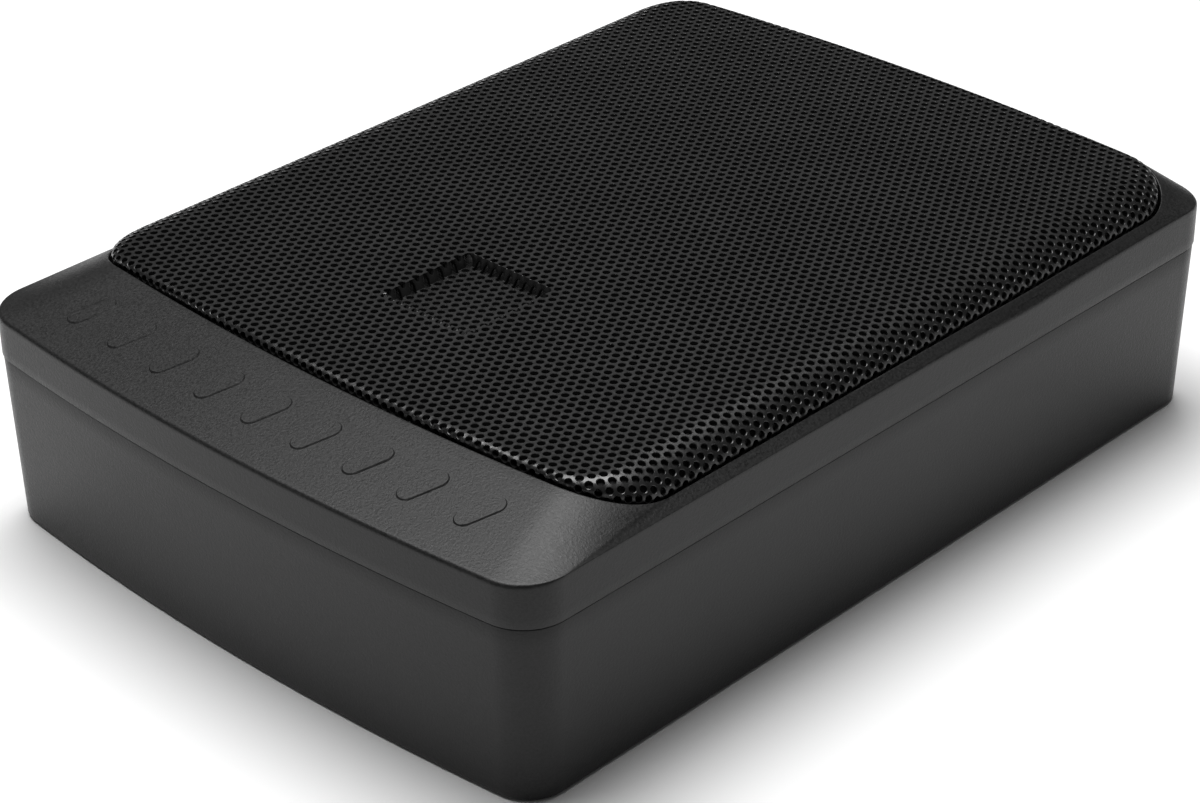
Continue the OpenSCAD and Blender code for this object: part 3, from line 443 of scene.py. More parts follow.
def metal(name, colour, rough, grain=(1, 1, 1)):
    """Bare or plated metal with slight tarnish, brushed across the axes with the larger grain."""
    m = Mat(name, rough=rough, metal=1.0)
    dark = tuple(c * 0.808 for c in colour)
    tone = m.colour(m.noise(9.0, 4.0, 0.6), [(0.3, dark), (0.7, colour)])
    m.base(tone)
    lines = m.noise(0.5, 3.0, 0.6, grain)
    m.rough(m.remap(lines, 0.3, 0.7, max(rough - 0.08, 0.05), rough + 0.1))
    m.bump(lines, 3.0)
    return m.mat


def rubber(name, dark, light, rough=0.7, grain_mm=0.6):
    m = Mat(name, rough=rough, specular=0.35)
    m.base(m.colour(m.noise(12.0, 4.0), [(0.3, dark), (0.7, light)]))
    m.rough(m.remap(m.noise(3.0, 3.0), 0.3, 0.7, rough - 0.07, rough + 0.08))
    m.bump(m.noise(grain_mm, 3.0), 7.0)
    return m.mat


def gloss(name, dark, light, rough):
    m = Mat(name, rough=rough)
    m.base(m.colour(m.noise(10.0, 3.0), [(0.3, dark), (0.7, light)]))
    m.rough(m.remap(m.noise(2.5, 3.0), 0.3, 0.7, max(rough - 0.06, 0.03), rough + 0.06))
    m.bump(m.noise(1.2, 2.0), 3.0)
    return m.mat


def magnet_material():
    m = Mat("ferrite", rough=0.62, specular=0.4)
    m.base(m.colour(m.noise(3.0, 6.0, 0.7), [(0.3, grey(0.022)), (0.7, grey(0.06))]))
    m.bump(m.noise(0.9, 5.0, 0.7), 25.0)
    return m.mat


def board_material():
    """Green solder mask with faint copper tracks under it."""
    m = Mat("solder_mask", rough=0.28, specular=0.5)
    cells = m.voronoi(6.0, "DISTANCE_TO_EDGE", 0.9)
    track = m.remap(cells, 0.03, 0.06, 1.0, 0.0)
    m.base(m.mix(track, (0.006, 0.055, 0.022), (0.02, 0.13, 0.05)))
    m.rough(m.remap(m.noise(2.0, 3.0), 0.3, 0.7, 0.22, 0.34))
    m.bump(track, 20.0)
    return m.mat


def wound(name, colour, thread_mm, rough=0.3):
    """Enamelled wire laid turn on turn along Z, its grooves darkened with painted shade."""
    m = Mat(name, rough=rough, metal=0.85)
    k = 1000.0 / thread_mm * 2 * math.pi
    turn_relief_and_shade = m.remap(m.math("SINE", m.math("MULTIPLY", m.axis("Z"), k)), -1.0, 1.0, 0.0, 1.0)
    # the darker colour in the grooves between turns is painted shade
    m.base(m.mix(turn_relief_and_shade, tuple(c * 0.35 for c in colour), colour))
    m.rough(m.remap(m.noise(2.0), 0.3, 0.7, rough - 0.05, rough + 0.1))
    m.bump(turn_relief_and_shade, 60.0)
    return m.mat


def cone_material():
    """Pressed fibre: matt, with flecks and a shallow pebble."""
    m = Mat("cone_fibre", rough=0.72, specular=0.3)
    fleck = m.noise(0.8, 5.0, 0.75, (1, 4, 1))
    m.base(m.colour(fleck, [(0.3, grey(0.012)), (0.72, grey(0.05))]))
    m.bump(m.noise(1.1, 4.0, 0.6), 30.0)
    return m.mat


def lens_material():
    m = Mat("light_lens", rough=0.12, specular=0.5)
    m.set("Transmission Weight", 0.35)
    m.base(m.colour(m.noise(1.5, 2.0), [(0.3, (0.02, 0.05, 0.35)), (0.7, (0.06, 0.14, 0.75))]))
    m.bump(m.noise(0.7, 2.0), 3.0)
    return m.mat


def jack_material():
    """Two-colour insert of the stacked input jacks: white above, red below, black body."""
    m = Mat("jack_plastic", rough=0.3, specular=0.5)
    low, high = box_mm("jack_shells")
    split = (low[2] + high[2]) / 2 * MM
    upper = m.math("GREATER_THAN", m.axis("Z"), split)
    colours = m.mix(upper, (0.36, 0.012, 0.01), (0.62, 0.61, 0.58))
    front = m.math("GREATER_THAN", m.axis("Y"), (low[1] - 4) * MM)
    shade = m.remap(m.noise(2.0, 3.0), 0.3, 0.7, 0.85, 1.1)
    toned = m.mix(front, grey(0.015), colours)
    n = m.node("ShaderNodeMix", data_type="RGBA", blend_type="MULTIPLY")
    n.inputs[0].default_value = 1.0
    m.link(toned, n.inputs[6])
    m.link(shade, n.inputs[7])
    m.base(n.outputs[2])
    m.bump(m.noise(0.8, 2.0), 4.0)
    return m.mat


casing_plastic = textured_plastic("casing_plastic", grey(0.0085), grey(0.0195), 0.38, 0.8, 95.0, 0.28)
panel_plastic = textured_plastic("panel_plastic", grey(0.012), grey(0.018), 0.46, 0.35, 7.0)
knob_plastic = textured_plastic("knob_plastic", grey(0.008), grey(0.013), 0.38, 0.3, 5.0)
socket_plastic = textured_plastic("socket_plastic", grey(0.012), grey(0.02), 0.42, 0.3, 5.0)
slider_plastic = textured_plastic("slider_plastic", grey(0.5), grey(0.6), 0.45, 0.3, 4.0)
grille_paint = painted_steel("grille_paint")
grille_fabric = woven("grille_fabric", grey(0.008), grey(0.03), 0.45, 60.0)
print_white = gloss("print_white", grey(0.55), grey(0.66), 0.55)
zinc = metal("zinc_plate", (0.62, 0.62, 0.6), 0.32)
black_oxide = metal("black_oxide", (0.055, 0.055, 0.058), 0.38)
brass = metal("brass", (0.8, 0.58, 0.24), 0.28)
nickel = metal("nickel", (0.72, 0.71, 0.68), 0.22)
aluminium = metal("aluminium", (0.75, 0.76, 0.77), 0.34, (1, 12, 12))
pot_can = metal("pot_can", (0.5, 0.5, 0.5), 0.36, (10, 1, 10))

MATERIAL_OF = {
    "lower_housing": casing_plastic,
    "upper_housing": casing_plastic,
    "housing_gasket": rubber("seal_rubber", grey(0.01), grey(0.02)),
    "woofer_gasket": rubber("seal_foam", grey(0.015), grey(0.035), 0.95, 1.0),
    "housing_screws": black_oxide,
    "grille_screws": black_oxide,
    "woofer_screws": black_oxide,
    "panel_screws": black_oxide,
    "grille": grille_paint,
    "grille_cloth": grille_fabric,
    "woofer_basket": gloss("basket_paint", grey(0.016), grey(0.028), 0.42),
    "surround": rubber("surround_rubber", grey(0.01), grey(0.018), 0.6),
    "cone": cone_material(),
    "dust_cap": cone_material(),
    "coil_former": gloss("coil_former", (0.35, 0.2, 0.06), (0.5, 0.3, 0.1), 0.35),
    "coil_winding": wound("coil_winding", (0.72, 0.3, 0.13), 0.4),
    "spider": woven("spider_cloth", (0.35, 0.2, 0.06), (0.62, 0.42, 0.16), 0.7, 80.0),
    "top_plate": zinc,
    "yoke": zinc,
    "magnet": magnet_material(),
    "terminal_board": gloss("phenolic", (0.16, 0.07, 0.025), (0.26, 0.12, 0.045), 0.4),
    "terminals": brass,
    "bracket_inserts": brass,
    "jack_contacts": brass,
    "remote_contacts": brass,
    "speaker_wires": gloss("wire_sleeve", (0.3, 0.012, 0.01), (0.42, 0.02, 0.015), 0.4),
    "amp_board": board_material(),
    "board_screws": zinc,
    "transistor_screws": zinc,
    "heat_spreader": aluminium,
    "power_transistors": textured_plastic("epoxy", grey(0.012), grey(0.02), 0.5, 0.25, 4.0),
    "control_chip": textured_plastic("chip_epoxy", grey(0.01), grey(0.018), 0.42, 0.2, 4.0),
    "capacitors": gloss("capacitor_sleeve", (0.012, 0.014, 0.05), (0.02, 0.024, 0.08), 0.22),
    "power_choke": rubber("choke_core", (0.5, 0.4, 0.05), (0.62, 0.5, 0.08), 0.6),
    "choke_winding": wound("choke_wire", (0.72, 0.3, 0.13), 0.8),
    "control_panel": panel_plastic,
    "input_jacks": jack_material(),
    "jack_shells": nickel,
    "power_pins": nickel,
    "level_shaft": nickel,
    "crossover_shaft": nickel,
    "power_socket": socket_plastic,
    "remote_socket": socket_plastic,
    "pot_bodies": pot_can,
    "switch_bodies": pot_can,
    "level_knob": knob_plastic,
    "crossover_knob": knob_plastic,
    "phase_slider": slider_plastic,
    "input_slider": slider_plastic,
    "power_light": lens_material(),
}
for name, node in nodes.items():
    node.data.materials.clear()
    node.data.materials.append(MATERIAL_OF[name])
    soften(node, 30.0)


def finish_piece(obj, material, *replaced, slot=None):
    obj.data.materials.clear()
    obj.data.materials.append(material)
    if replaced:
        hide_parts(*replaced)
    return obj


# ---------------------------------------------------------------- upper casing
def racetrack_like(ring, half_w, straight, y):
    """Points of a racetrack in the same directions from its middle as the ring's points."""
    out = []
    for px, py in ring:
        dx, dy = px, py - y
        lo, hi = 0.0, 400.0
        size = math.hypot(dx, dy)
        ux, uy = dx / size, dy / size
        for _ in range(40):
            mid = (lo + hi) / 2
            x, v = ux * mid, uy * mid
            v = max(abs(v) - straight, 0.0)
            if math.hypot(x, v) < half_w:
                lo = mid
            else:
                hi = mid
        k = (lo + hi) / 2
        out.append((ux * k, y + uy * k))
    return np.array(out)


def upper_casing():
    outer = outline(UPPER)
    lip = at(outline(OPENING), RISE)
    reach = lip[:, :2] - outer
    span = np.linalg.norm(reach, axis=1)
    unit = reach / span[:, None]
    slope = (RISE - ARRIS_Z) / (span - ARRIS_R)
    corner_z = ARRIS_Z - ARRIS_R * slope
    sharp = at(outer, corner_z)
    below = at(outer, corner_z - ARRIS_R)
    run = np.column_stack([unit, slope])
    above = sharp + run * ARRIS_R
    before_lip = lip - run * LIP_R
    after_lip = lip - np.array([0, 0, LIP_R])
    small = 0.22
    support = below - np.array([0, 0, 0.35])
    loops = [
        at(outline(UPPER, small), BAND_Z),
        at(outline(UPPER, small * 0.29), BAND_Z + small * 0.29),
        at(outer, BAND_Z + small),
        at(outer, BAND_Z + 3.0),
        at(outer, BAND_Z + 7.0),
        support,
    ]
    loops += bezier(below, sharp, above, 7)
    loops.append(above + run * 0.35)
    for k in range(1, 9):
        t = k / 9
        loops.append(above + (before_lip - above) * t)
    loops += bezier(before_lip, lip, after_lip, 5)
    inner = outline(OPENING)
    frame_w = HALF_W - SIDE_SHELF - FRAME_SIDE_GAP
    frame_l = (OPEN_FRONT + OPEN_REAR) / 2 - FRAME_END_GAP
    hole = racetrack_like(inner, frame_w - FRAME_LAP, frame_l - frame_w, OPEN_SHIFT)
    loops += [
        at(inner, BAFFLE_TOP),
        at(hole, BAFFLE_TOP),
        at(hole, BAFFLE_TOP - BAFFLE),
        at(inner, BAFFLE_TOP - BAFFLE),
        at(inner, BAND_Z),
    ]
    verts, faces = loft(loops, closed=True)
    return verts, faces, (outer, unit, slope, above)


verts, faces, SHELF = upper_casing()
casing_upper = make_object("casing_upper", verts, faces)


# ---------------------------------------------------------------- motif on the front shelf
def shelf_height(x, y):
    """Height of the front shelf over a point, from the ruling that passes nearest."""
    outer, unit, slope, above = SHELF
    i = np.arange(BOW_N + CORNER_N)
    rel = np.stack([x - outer[i, 0], y - outer[i, 1]], 1)
    side = rel[:, 0] * unit[i, 1] - rel[:, 1] * unit[i, 0]
    k = int(np.argmin(np.abs(side)))
    along = rel[k] @ unit[k]
    return above[k, 2] + slope[k] * (along - ARRIS_R)


def motif_bar(x, y, half_len, half_wide, height, lean):
    """A raised bar with round ends whose walls lean inward, following the shelf."""
    steps = 12
    t = np.concatenate(
        [
            np.linspace(-math.pi / 2, math.pi / 2, steps),
            np.linspace(math.pi / 2, 3 * math.pi / 2, steps),
        ]
    )
    shift = np.where(np.arange(2 * steps) < steps, half_len - half_wide, half_wide - half_len)
    loops = []
    for inset, up in ((-0.15, -0.5), (0.0, 0.02), (0.35, height)):
        r = half_wide - inset
        px = shift + r * np.cos(t)
        py = r * np.sin(t)
        qx = x + px * math.cos(lean) - py * math.sin(lean)
        qy = y + px * math.sin(lean) + py * math.cos(lean)
        z = np.array([shelf_height(a, b) for a, b in zip(qx, qy)]) + up
        loops.append(np.column_stack([qx, qy, z]))
    return loft(loops, caps=True)


MOTIF_COUNT = 9
MOTIF_REACH = 74.0
parts = []
for k in range(MOTIF_COUNT):
    x = MOTIF_REACH * (2 * k / (MOTIF_COUNT - 1) - 1)
    bow_y = -(HALF_L - BOW * (x / HALF_W) ** 2)
    parts.append(motif_bar(x, bow_y + 17.0, 6.9, 2.9, 0.32, math.radians(66)))
verts, faces = merged(parts)
motif = make_object("shelf_motif", verts, faces, smooth_angle=24)
finish_piece(motif, casing_plastic, slot="casing_plastic")
finish_piece(casing_upper, casing_plastic, "upper_housing", slot="casing_plastic")


# ---------------------------------------------------------------- lower casing
def lower_casing():
    small = 0.25
    inner = outline(CASING, WALL + DRAFT)

    def lean(z):
        return DRAFT * (1 - z / SEAM_Z)

    loops = [
        at(outline(CASING, DRAFT + FOOT), 0.0),
        at(outline(CASING, DRAFT + FOOT * 0.5), FOOT * 0.12),
        at(outline(CASING, DRAFT + FOOT * 0.12), FOOT * 0.5),
        at(outline(CASING, lean(FOOT) + 0.01), FOOT),
    ]
    for z in (4.0, 12.0, 24.0, 36.0, 46.0, SEAM_Z - small):
        loops.append(at(outline(CASING, lean(z)), z))
    loops += [
        at(outline(CASING, small * 0.29), SEAM_Z - small * 0.29),
        at(outline(CASING, small), SEAM_Z),
        at(outline(CASING, 1.3), SEAM_Z),
        at(outline(CASING, 1.3), SEAM_Z - 0.8),
        at(outline(CASING, 2.7), SEAM_Z - 0.8),
        at(outline(CASING, 2.7), SEAM_Z),
        at(inner, SEAM_Z),
        at(inner, FLOOR + 1.5),
        at(outline(CASING, WALL + DRAFT + 0.45), FLOOR + 0.45),
        at(outline(CASING, WALL + DRAFT + 1.5), FLOOR),
    ]
    return loft(loops, caps=True)


def as_cutter(name, *meshes):
    v, f = merged(meshes)
    return cutter(name, v, f)


panel_low, panel_high = box_mm("control_panel")
PANEL_Y = panel_high[1] - 0.02
PANEL_T = panel_high[1] - panel_low[1]
PANEL_FIT = 0.4
BAY_HALF = panel_high[0] + PANEL_FIT
BAY_LOW = panel_low[2] - PANEL_FIT
BAY_HIGH = panel_high[2] + PANEL_FIT
BAY_WALL = 2.5
LEDGE = 4.0
BRACKET_X = HALF_W - 11.6
BRACKET_Y = HALF_L - 39.0
RECESS_X = HALF_W - 17.0
RECESS_HALF = 9.0
RECESS_DEPTH = 1.0
RECESS_SOFT = 2.6
SCREW_HEAD_R, SCREW_R, POST_R = 3.7, 2.0, 4.7
SCREW_WELL = 20.0
INSERT_R, INSERT_TOP = 2.82, 7.1


def bay_block():
    """The walls round the rear bay, whose back follows the bowed rear wall."""
    rim = outline(CASING, BAY_WALL)
    half = BAY_HALF + BAY_WALL
    back = [p for p in rim if p[1] > 0 and abs(p[0]) <= half]
    back.sort(key=lambda p: p[0])
    front_y = PANEL_Y - PANEL_T - LEDGE
    pts = [(-half, front_y), (half, front_y)]
    pts += [(half, back[-1][1])] + [tuple(p) for p in reversed(back)] + [(-half, back[0][1])]
    return prism(np.array(pts), BAY_LOW - BAY_WALL, BAY_HIGH + BAY_WALL)


def bracket_notch(sx, sy):
    """A shallow recess across the bottom edge, with soft ends, for a mounting bracket."""
    half, soft = RECESS_HALF, RECESS_SOFT
    y0 = sy * BRACKET_Y
    t = np.linspace(0, 1, 9)
    rise = RECESS_DEPTH * (1 - np.cos(np.pi * t)) / 2
    left = np.stack([-half - soft / 2 + soft * t, rise], 1)
    right = np.stack([half + soft / 2 - soft * t, rise], 1)[::-1]
    top = np.concatenate([left, right])
    profile = np.concatenate([[[left[0, 0], -2.0]], top, [[right[-1, 0], -2.0]]])[::-1]
    n = len(profile)
    x_in, x_out = sx * RECESS_X, sx * (HALF_W + 3.0)
    a = np.column_stack([np.full(n, x_in), y0 + profile[:, 0], profile[:, 1]])
    b = np.column_stack([np.full(n, x_out), y0 + profile[:, 0], profile[:, 1]])
    verts, faces = loft([a, b], caps=True)
    return (verts, faces) if sx < 0 else (verts, [tuple(reversed(f)) for f in faces])


verts, faces = lower_casing()
casing_lower = make_object("casing_lower", verts, faces)
boolean(casing_lower, [as_cutter("bay_walls", bay_block())], "UNION")
cuts = [
    as_cutter(
        "bay_room",
        box_mesh(-BAY_HALF, BAY_HALF, PANEL_Y - PANEL_T, HALF_L + 4, BAY_LOW, BAY_HIGH),
    ),
    as_cutter(
        "bay_mouth",
        box_mesh(
            -BAY_HALF + LEDGE,
            BAY_HALF - LEDGE,
            PANEL_Y - PANEL_T - LEDGE - 2,
            PANEL_Y,
            BAY_LOW + LEDGE,
            BAY_HIGH - LEDGE,
        ),
    ),
]
for sx in (-1, 1):
    for sy in (-1, 1):
        cuts.append(as_cutter("notch", bracket_notch(sx, sy)))
boolean(casing_lower, cuts)


# screw wells and insert holes go where the frame's own screws and inserts are
def loose_centres(node):
    """Middle of each separate solid of a CAD node, in millimetres."""
    mesh = nodes[node].data
    bm = bmesh.new()
    bm.from_mesh(mesh)
    bmesh.ops.remove_doubles(bm, verts=bm.verts, dist=1e-6)
    seen, out = set(), []
    for v in bm.verts:
        if v in seen:
            continue
        stack, group = [v], []
        seen.add(v)
        while stack:
            w = stack.pop()
            group.append(w.co.copy())
            for e in w.link_edges:
                o = e.other_vert(w)
                if o not in seen:
                    seen.add(o)
                    stack.append(o)
        co = np.array(group) / MM
        out.append((co.min(0) + co.max(0)) / 2)
    bm.free()
    return out


def stepped_tube(x, y, wide, narrow, step_z, z0, z1, sides=40):
    """A round cutter that narrows at step_z."""
    t = np.arange(sides) * 2 * math.pi / sides
    ring = np.stack([np.cos(t), np.sin(t)], 1)
    stages = [(wide, z0), (wide, step_z), (narrow, step_z), (narrow, z1)]
    return loft([at(np.array([x, y]) + ring * r, z) for r, z in stages], caps=True)


wells, posts = [], []
for x, y, _ in loose_centres("housing_screws"):
    wells.append(stepped_tube(x, y, SCREW_HEAD_R, SCREW_R, SCREW_WELL, -1.0, SEAM_Z + 2.0))
    posts.append(tube_mesh(x, y, POST_R, 1.0, SEAM_Z - 0.9))
for x, y, _ in loose_centres("bracket_inserts"):
    wells.append(tube_mesh(x, y, INSERT_R, -0.5, INSERT_TOP))
for sx in (-1, 1):
    for sy in (-1, 1):
        x, y = sx * BRACKET_X, sy * BRACKET_Y
        posts.append(box_mesh(x - 5, x + 5, y - 9.5, y + 9.5, 1.6, 10.0))
boolean(casing_lower, [as_cutter("posts", *posts)], "UNION")
boolean(casing_lower, [as_cutter("wells", *wells)])
soften(casing_lower, 28)
finish_piece(casing_lower, casing_plastic, "lower_housing", slot="casing_plastic")


# ---------------------------------------------------------------- formed grille sheet
RIM = outline(SKIRT)
FLAT = outline(SKIRT, ROLL_SIDE) * (1 - FACING[:, None]) + outline(SKIRT, ROLL_FRONT) * FACING[:, None]
LOW = RISE - SKIRT_DEPTH + SKIRT_LAND
INWARD = FLAT - RIM
ROLL_W = np.linalg.norm(INWARD, axis=1)
INWARD = INWARD / ROLL_W[:, None]
ROLL_H = TOP_Z - LOW
ARC_N = 33
PHI = np.linspace(math.pi / 2, 0, ARC_N)


def arc_table(w, h):
    """Arc length from the flat top down the rolled edge, for each width and height."""
    x = w[:, None] * np.cos(PHI)[None, :]
    z = h[:, None] * np.sin(PHI)[None, :]
    step = np.hypot(np.diff(x, axis=1), np.diff(z, axis=1))
    return np.concatenate([np.zeros((len(w), 1)), np.cumsum(step, axis=1)], 1)


ARC_LEN = arc_table(ROLL_W, ROLL_H)[:, -1]
UNROLLED = FLAT - INWARD * (ARC_LEN + SKIRT_LAND)[:, None]


def cross2(a, b):
    return a[..., 0] * b[..., 1] - a[..., 1] * b[..., 0]


def press(x, y, half, depth, draw):
    """Depth of the pressed square recess at a point of the flat sheet."""
    r = 1.6
    qx, qy = np.abs(x) - half + r, np.abs(y - BADGE_Y) - half + r
    out = np.hypot(np.maximum(qx, 0), np.maximum(qy, 0)) + np.minimum(np.maximum(qx, qy), 0) - r
    t = np.clip(-out / draw, 0, 1)
    return depth * t


def form(p, pocket=(BADGE_HALF, BADGE_DEPTH, BADGE_DRAW), chunk=4000):
    """Maps points of the flat blank to the formed sheet: position and outward normal."""
    p = np.asarray(p, float)
    pos, normal = np.zeros((len(p), 3)), np.zeros((len(p), 3))
    nxt = np.roll(np.arange(len(FLAT)), -1)
    for a in range(0, len(p), chunk):
        q = p[a : a + chunk]
        rel = q[:, None, :] - FLAT[None, :, :]
        c = cross2(-INWARD[None, :, :], rel)
        cn = c[:, nxt]
        t = np.where(np.abs(c - cn) > 1e-12, c / (c - cn + 1e-30), 0)
        f = FLAT[None] * (1 - t[..., None]) + FLAT[nxt][None] * t[..., None]
        w = INWARD[None] * (1 - t[..., None]) + INWARD[nxt][None] * t[..., None]
        s = -((q[:, None, :] - f) * w).sum(-1)
        ok = (t >= -1e-9) & (t <= 1 + 1e-9) & (s > -0.4) & (c >= -1e-9) & (cn <= 1e-9)
        s_ok = np.where(ok, s, -9.0)
        k = s_ok.argmax(1)
        rows = np.arange(len(q))
        found = s_ok[rows, k] > 0
        sk, tk = s_ok[rows, k], t[rows, k]
        near, far = 1 - tk, tk
        fold = FLAT[k] * near[:, None] + FLAT[nxt][k] * far[:, None]
        wk = INWARD[k] * near[:, None] + INWARD[nxt][k] * far[:, None]
        wk = wk / np.linalg.norm(wk, axis=1)[:, None]
        rw, rh, low = (v[k] * near + v[nxt][k] * far for v in (ROLL_W, ROLL_H, LOW))
        table = arc_table(rw, rh)
        total = table[:, -1]
        phi = np.array([np.interp(min(v, tt[-1]), tt, PHI) for v, tt in zip(sk, table)])
        drop = np.maximum(sk - total, 0)
        xy = fold - wk * (rw * np.cos(phi))[:, None]
        z = low + rh * np.sin(phi) - drop
        nrm = np.column_stack([-wk * (rh * np.cos(phi))[:, None], rw * np.sin(phi)])
        nrm /= np.linalg.norm(nrm, axis=1)[:, None]
        flat_z = TOP_Z - press(q[:, 0], q[:, 1], *pocket)
        h = 0.12
        gx = (press(q[:, 0] + h, q[:, 1], *pocket) - press(q[:, 0] - h, q[:, 1], *pocket)) / (2 * h)
        gy = (press(q[:, 0], q[:, 1] + h, *pocket) - press(q[:, 0], q[:, 1] - h, *pocket)) / (2 * h)
        flat_n = np.column_stack([gx, gy, np.ones(len(q))])
        flat_n /= np.linalg.norm(flat_n, axis=1)[:, None]
        use = found[:, None]
        pos[a : a + chunk] = np.where(use, np.column_stack([xy, z]), np.column_stack([q, flat_z]))
        normal[a : a + chunk] = np.where(use, nrm, flat_n)
    return pos, normal


def square_loop(half, radius, steps=5, per_side=16):
    """A square with round corners about the badge, counter-clockwise."""
    pts = []
    for q in range(4):
        a0 = q * math.pi / 2
        cx = (half - radius) * (1 if q in (0, 3) else -1)
        cy = (half - radius) * (1 if q in (0, 1) else -1)
        for k in range(steps + 1):
            a = a0 + math.pi / 2 * k / steps
            pts.append((cx + radius * math.cos(a), BADGE_Y + cy + radius * math.sin(a)))
        n = pts[-1]
        nq = (q + 1) % 4
        mx = (half - radius) * (1 if nq in (0, 3) else -1) + radius * math.cos(nq * math.pi / 2)
        my = BADGE_Y + (half - radius) * (1 if nq in (0, 1) else -1) + radius * math.sin(nq * math.pi / 2)
        for k in range(1, per_side):
            t = k / per_side
            pts.append((n[0] + (mx - n[0]) * t, n[1] + (my - n[1]) * t))
    return pts


def lattice():
    row = HOLE_PITCH * math.sqrt(3) / 2
    out = []
    for j in range(-60, 61):
        for i in range(-45, 46):
            out.append((HOLE_PITCH * (i + (j % 2) / 2), row * j))
    return np.array(out)


def inside_loop(p, loop):
    nxt = np.roll(loop, -1, 0)
    hits = np.zeros(len(p), int)
    for (x0, y0), (x1, y1) in zip(loop, nxt):
        if y0 == y1:
            continue
        crosses = (p[:, 1] > min(y0, y1)) & (p[:, 1] <= max(y0, y1))
        x = x0 + (p[:, 1] - y0) * (x1 - x0) / (y1 - y0)
        hits += crosses & (p[:, 0] < x)
    return hits % 2 == 1


def nearest_hole(p):
    row = HOLE_PITCH * math.sqrt(3) / 2
    best = np.full(len(p), 1e9)
    centre = np.zeros_like(p)
    j0 = np.round(p[:, 1] / row)
    for dj in (-1, 0, 1):
        j = j0 + dj
        half = np.mod(j, 2) / 2
        i = np.round(p[:, 0] / HOLE_PITCH - half)
        c = np.column_stack([HOLE_PITCH * (i + half), row * j])
        d = np.linalg.norm(p - c, axis=1)
        better = d < best
        best = np.where(better, d, best)
        centre[better] = c[better]
    return best, centre


def triangulate(points, edges):
    v, _, f, _, _, _ = delaunay_2d_cdt([Vector(p) for p in points], edges, [], 0, 1e-6, False)
    v = np.array([tuple(q) for q in v])
    f = np.array([t for t in f if len(t) == 3])
    a, b, c = v[f[:, 0]], v[f[:, 1]], v[f[:, 2]]
    turned = cross2(b - a, c - a) < 0
    f[turned] = f[turned][:, ::-1]
    return v, f


def chain(points, edges, loop):
    base = len(points)
    points += [tuple(p) for p in loop]
    n = len(loop)
    edges += [(base + k, base + (k + 1) % n) for k in range(n)]


def perforated():
    points, edges = [], []
    chain(points, edges, UNROLLED)
    chain(points, edges, square_loop(BADGE_HALF, 1.6))
    chain(points, edges, square_loop(BADGE_HALF - BADGE_DRAW, 0.7))
    wide = HOLE_R + HOLE_CHAMFER
    centres = lattice()
    big = outline(SKIRT) + (UNROLLED - outline(SKIRT)) * 1.35
    centres = centres[inside_loop(centres, big)]
    turn = 2 * math.pi * (np.arange(HOLE_SIDES) + 0.5) / HOLE_SIDES
    ring = np.stack([np.cos(turn), np.sin(turn)], 1) * wide
    for c in centres:
        chain(points, edges, c + ring)
    v, f = triangulate(points, edges)
    mid = v[f].mean(1)
    near, _ = nearest_hole(mid)
    keep = (near > wide * math.cos(math.pi / HOLE_SIDES)) & inside_loop(mid, UNROLLED)
    return v, f[keep]


def thick_piece(name, v, f, top, mid, bottom):
    """A closed sheet from the faces f: top and bottom skins, and walls of two bands at every edge."""
    used, f = np.unique(f, return_inverse=True)
    f = f.reshape(-1, 3)
    n = len(used)
    e = np.concatenate([f[:, [0, 1]], f[:, [1, 2]], f[:, [2, 0]]])
    key = {tuple(x) for x in e.tolist()}
    border = [(a, b) for a, b in key if (b, a) not in key]
    faces = [tuple(x) for x in f.tolist()]
    faces += [(c + 2 * n, b + 2 * n, a + 2 * n) for a, b, c in f.tolist()]
    for a, b in border:
        faces.append((b, a, a + n, b + n))
        faces.append((b + n, a + n, a + 2 * n, b + 2 * n))
    verts = np.concatenate([top[used], mid[used], bottom[used]])
    obj = make_object(name, verts, faces, smooth_angle=38)
    bm = bmesh.new()
    bm.from_mesh(obj.data)
    bmesh.ops.delete(bm, geom=[w for w in bm.verts if not w.link_faces], context="VERTS")
    bm.to_mesh(obj.data)
    bm.free()
    soften(obj, 38)
    return obj


def perforated_grille():
    v, f = perforated()
    wide = HOLE_R + HOLE_CHAMFER
    near, centre = nearest_hole(v)
    on_hole = (near < wide + 1e-4)[:, None]
    shrunk = np.where(on_hole, centre + (v - centre) * (HOLE_R / wide), v)
    pos, nrm = form(v)
    pos2, nrm2 = form(shrunk)
    top = pos
    mid = pos2 - nrm2 * HOLE_CHAMFER
    bottom = pos2 - nrm2 * SHEET
    y = v[f].mean(1)[:, 1]
    cuts = np.quantile(y, [0, 0.25, 0.5, 0.75, 1.0])
    out = []
    for k in range(4):
        pick = (y >= cuts[k]) & ((y < cuts[k + 1]) if k < 3 else (y <= cuts[k + 1]))
        piece = thick_piece(f"grille_sheet_{k + 1}", v, f[pick], top, mid, bottom)
        out.append(finish_piece(piece, grille_paint, slot="grille_steel"))
    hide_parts("grille")
    return out


grille_pieces = perforated_grille()


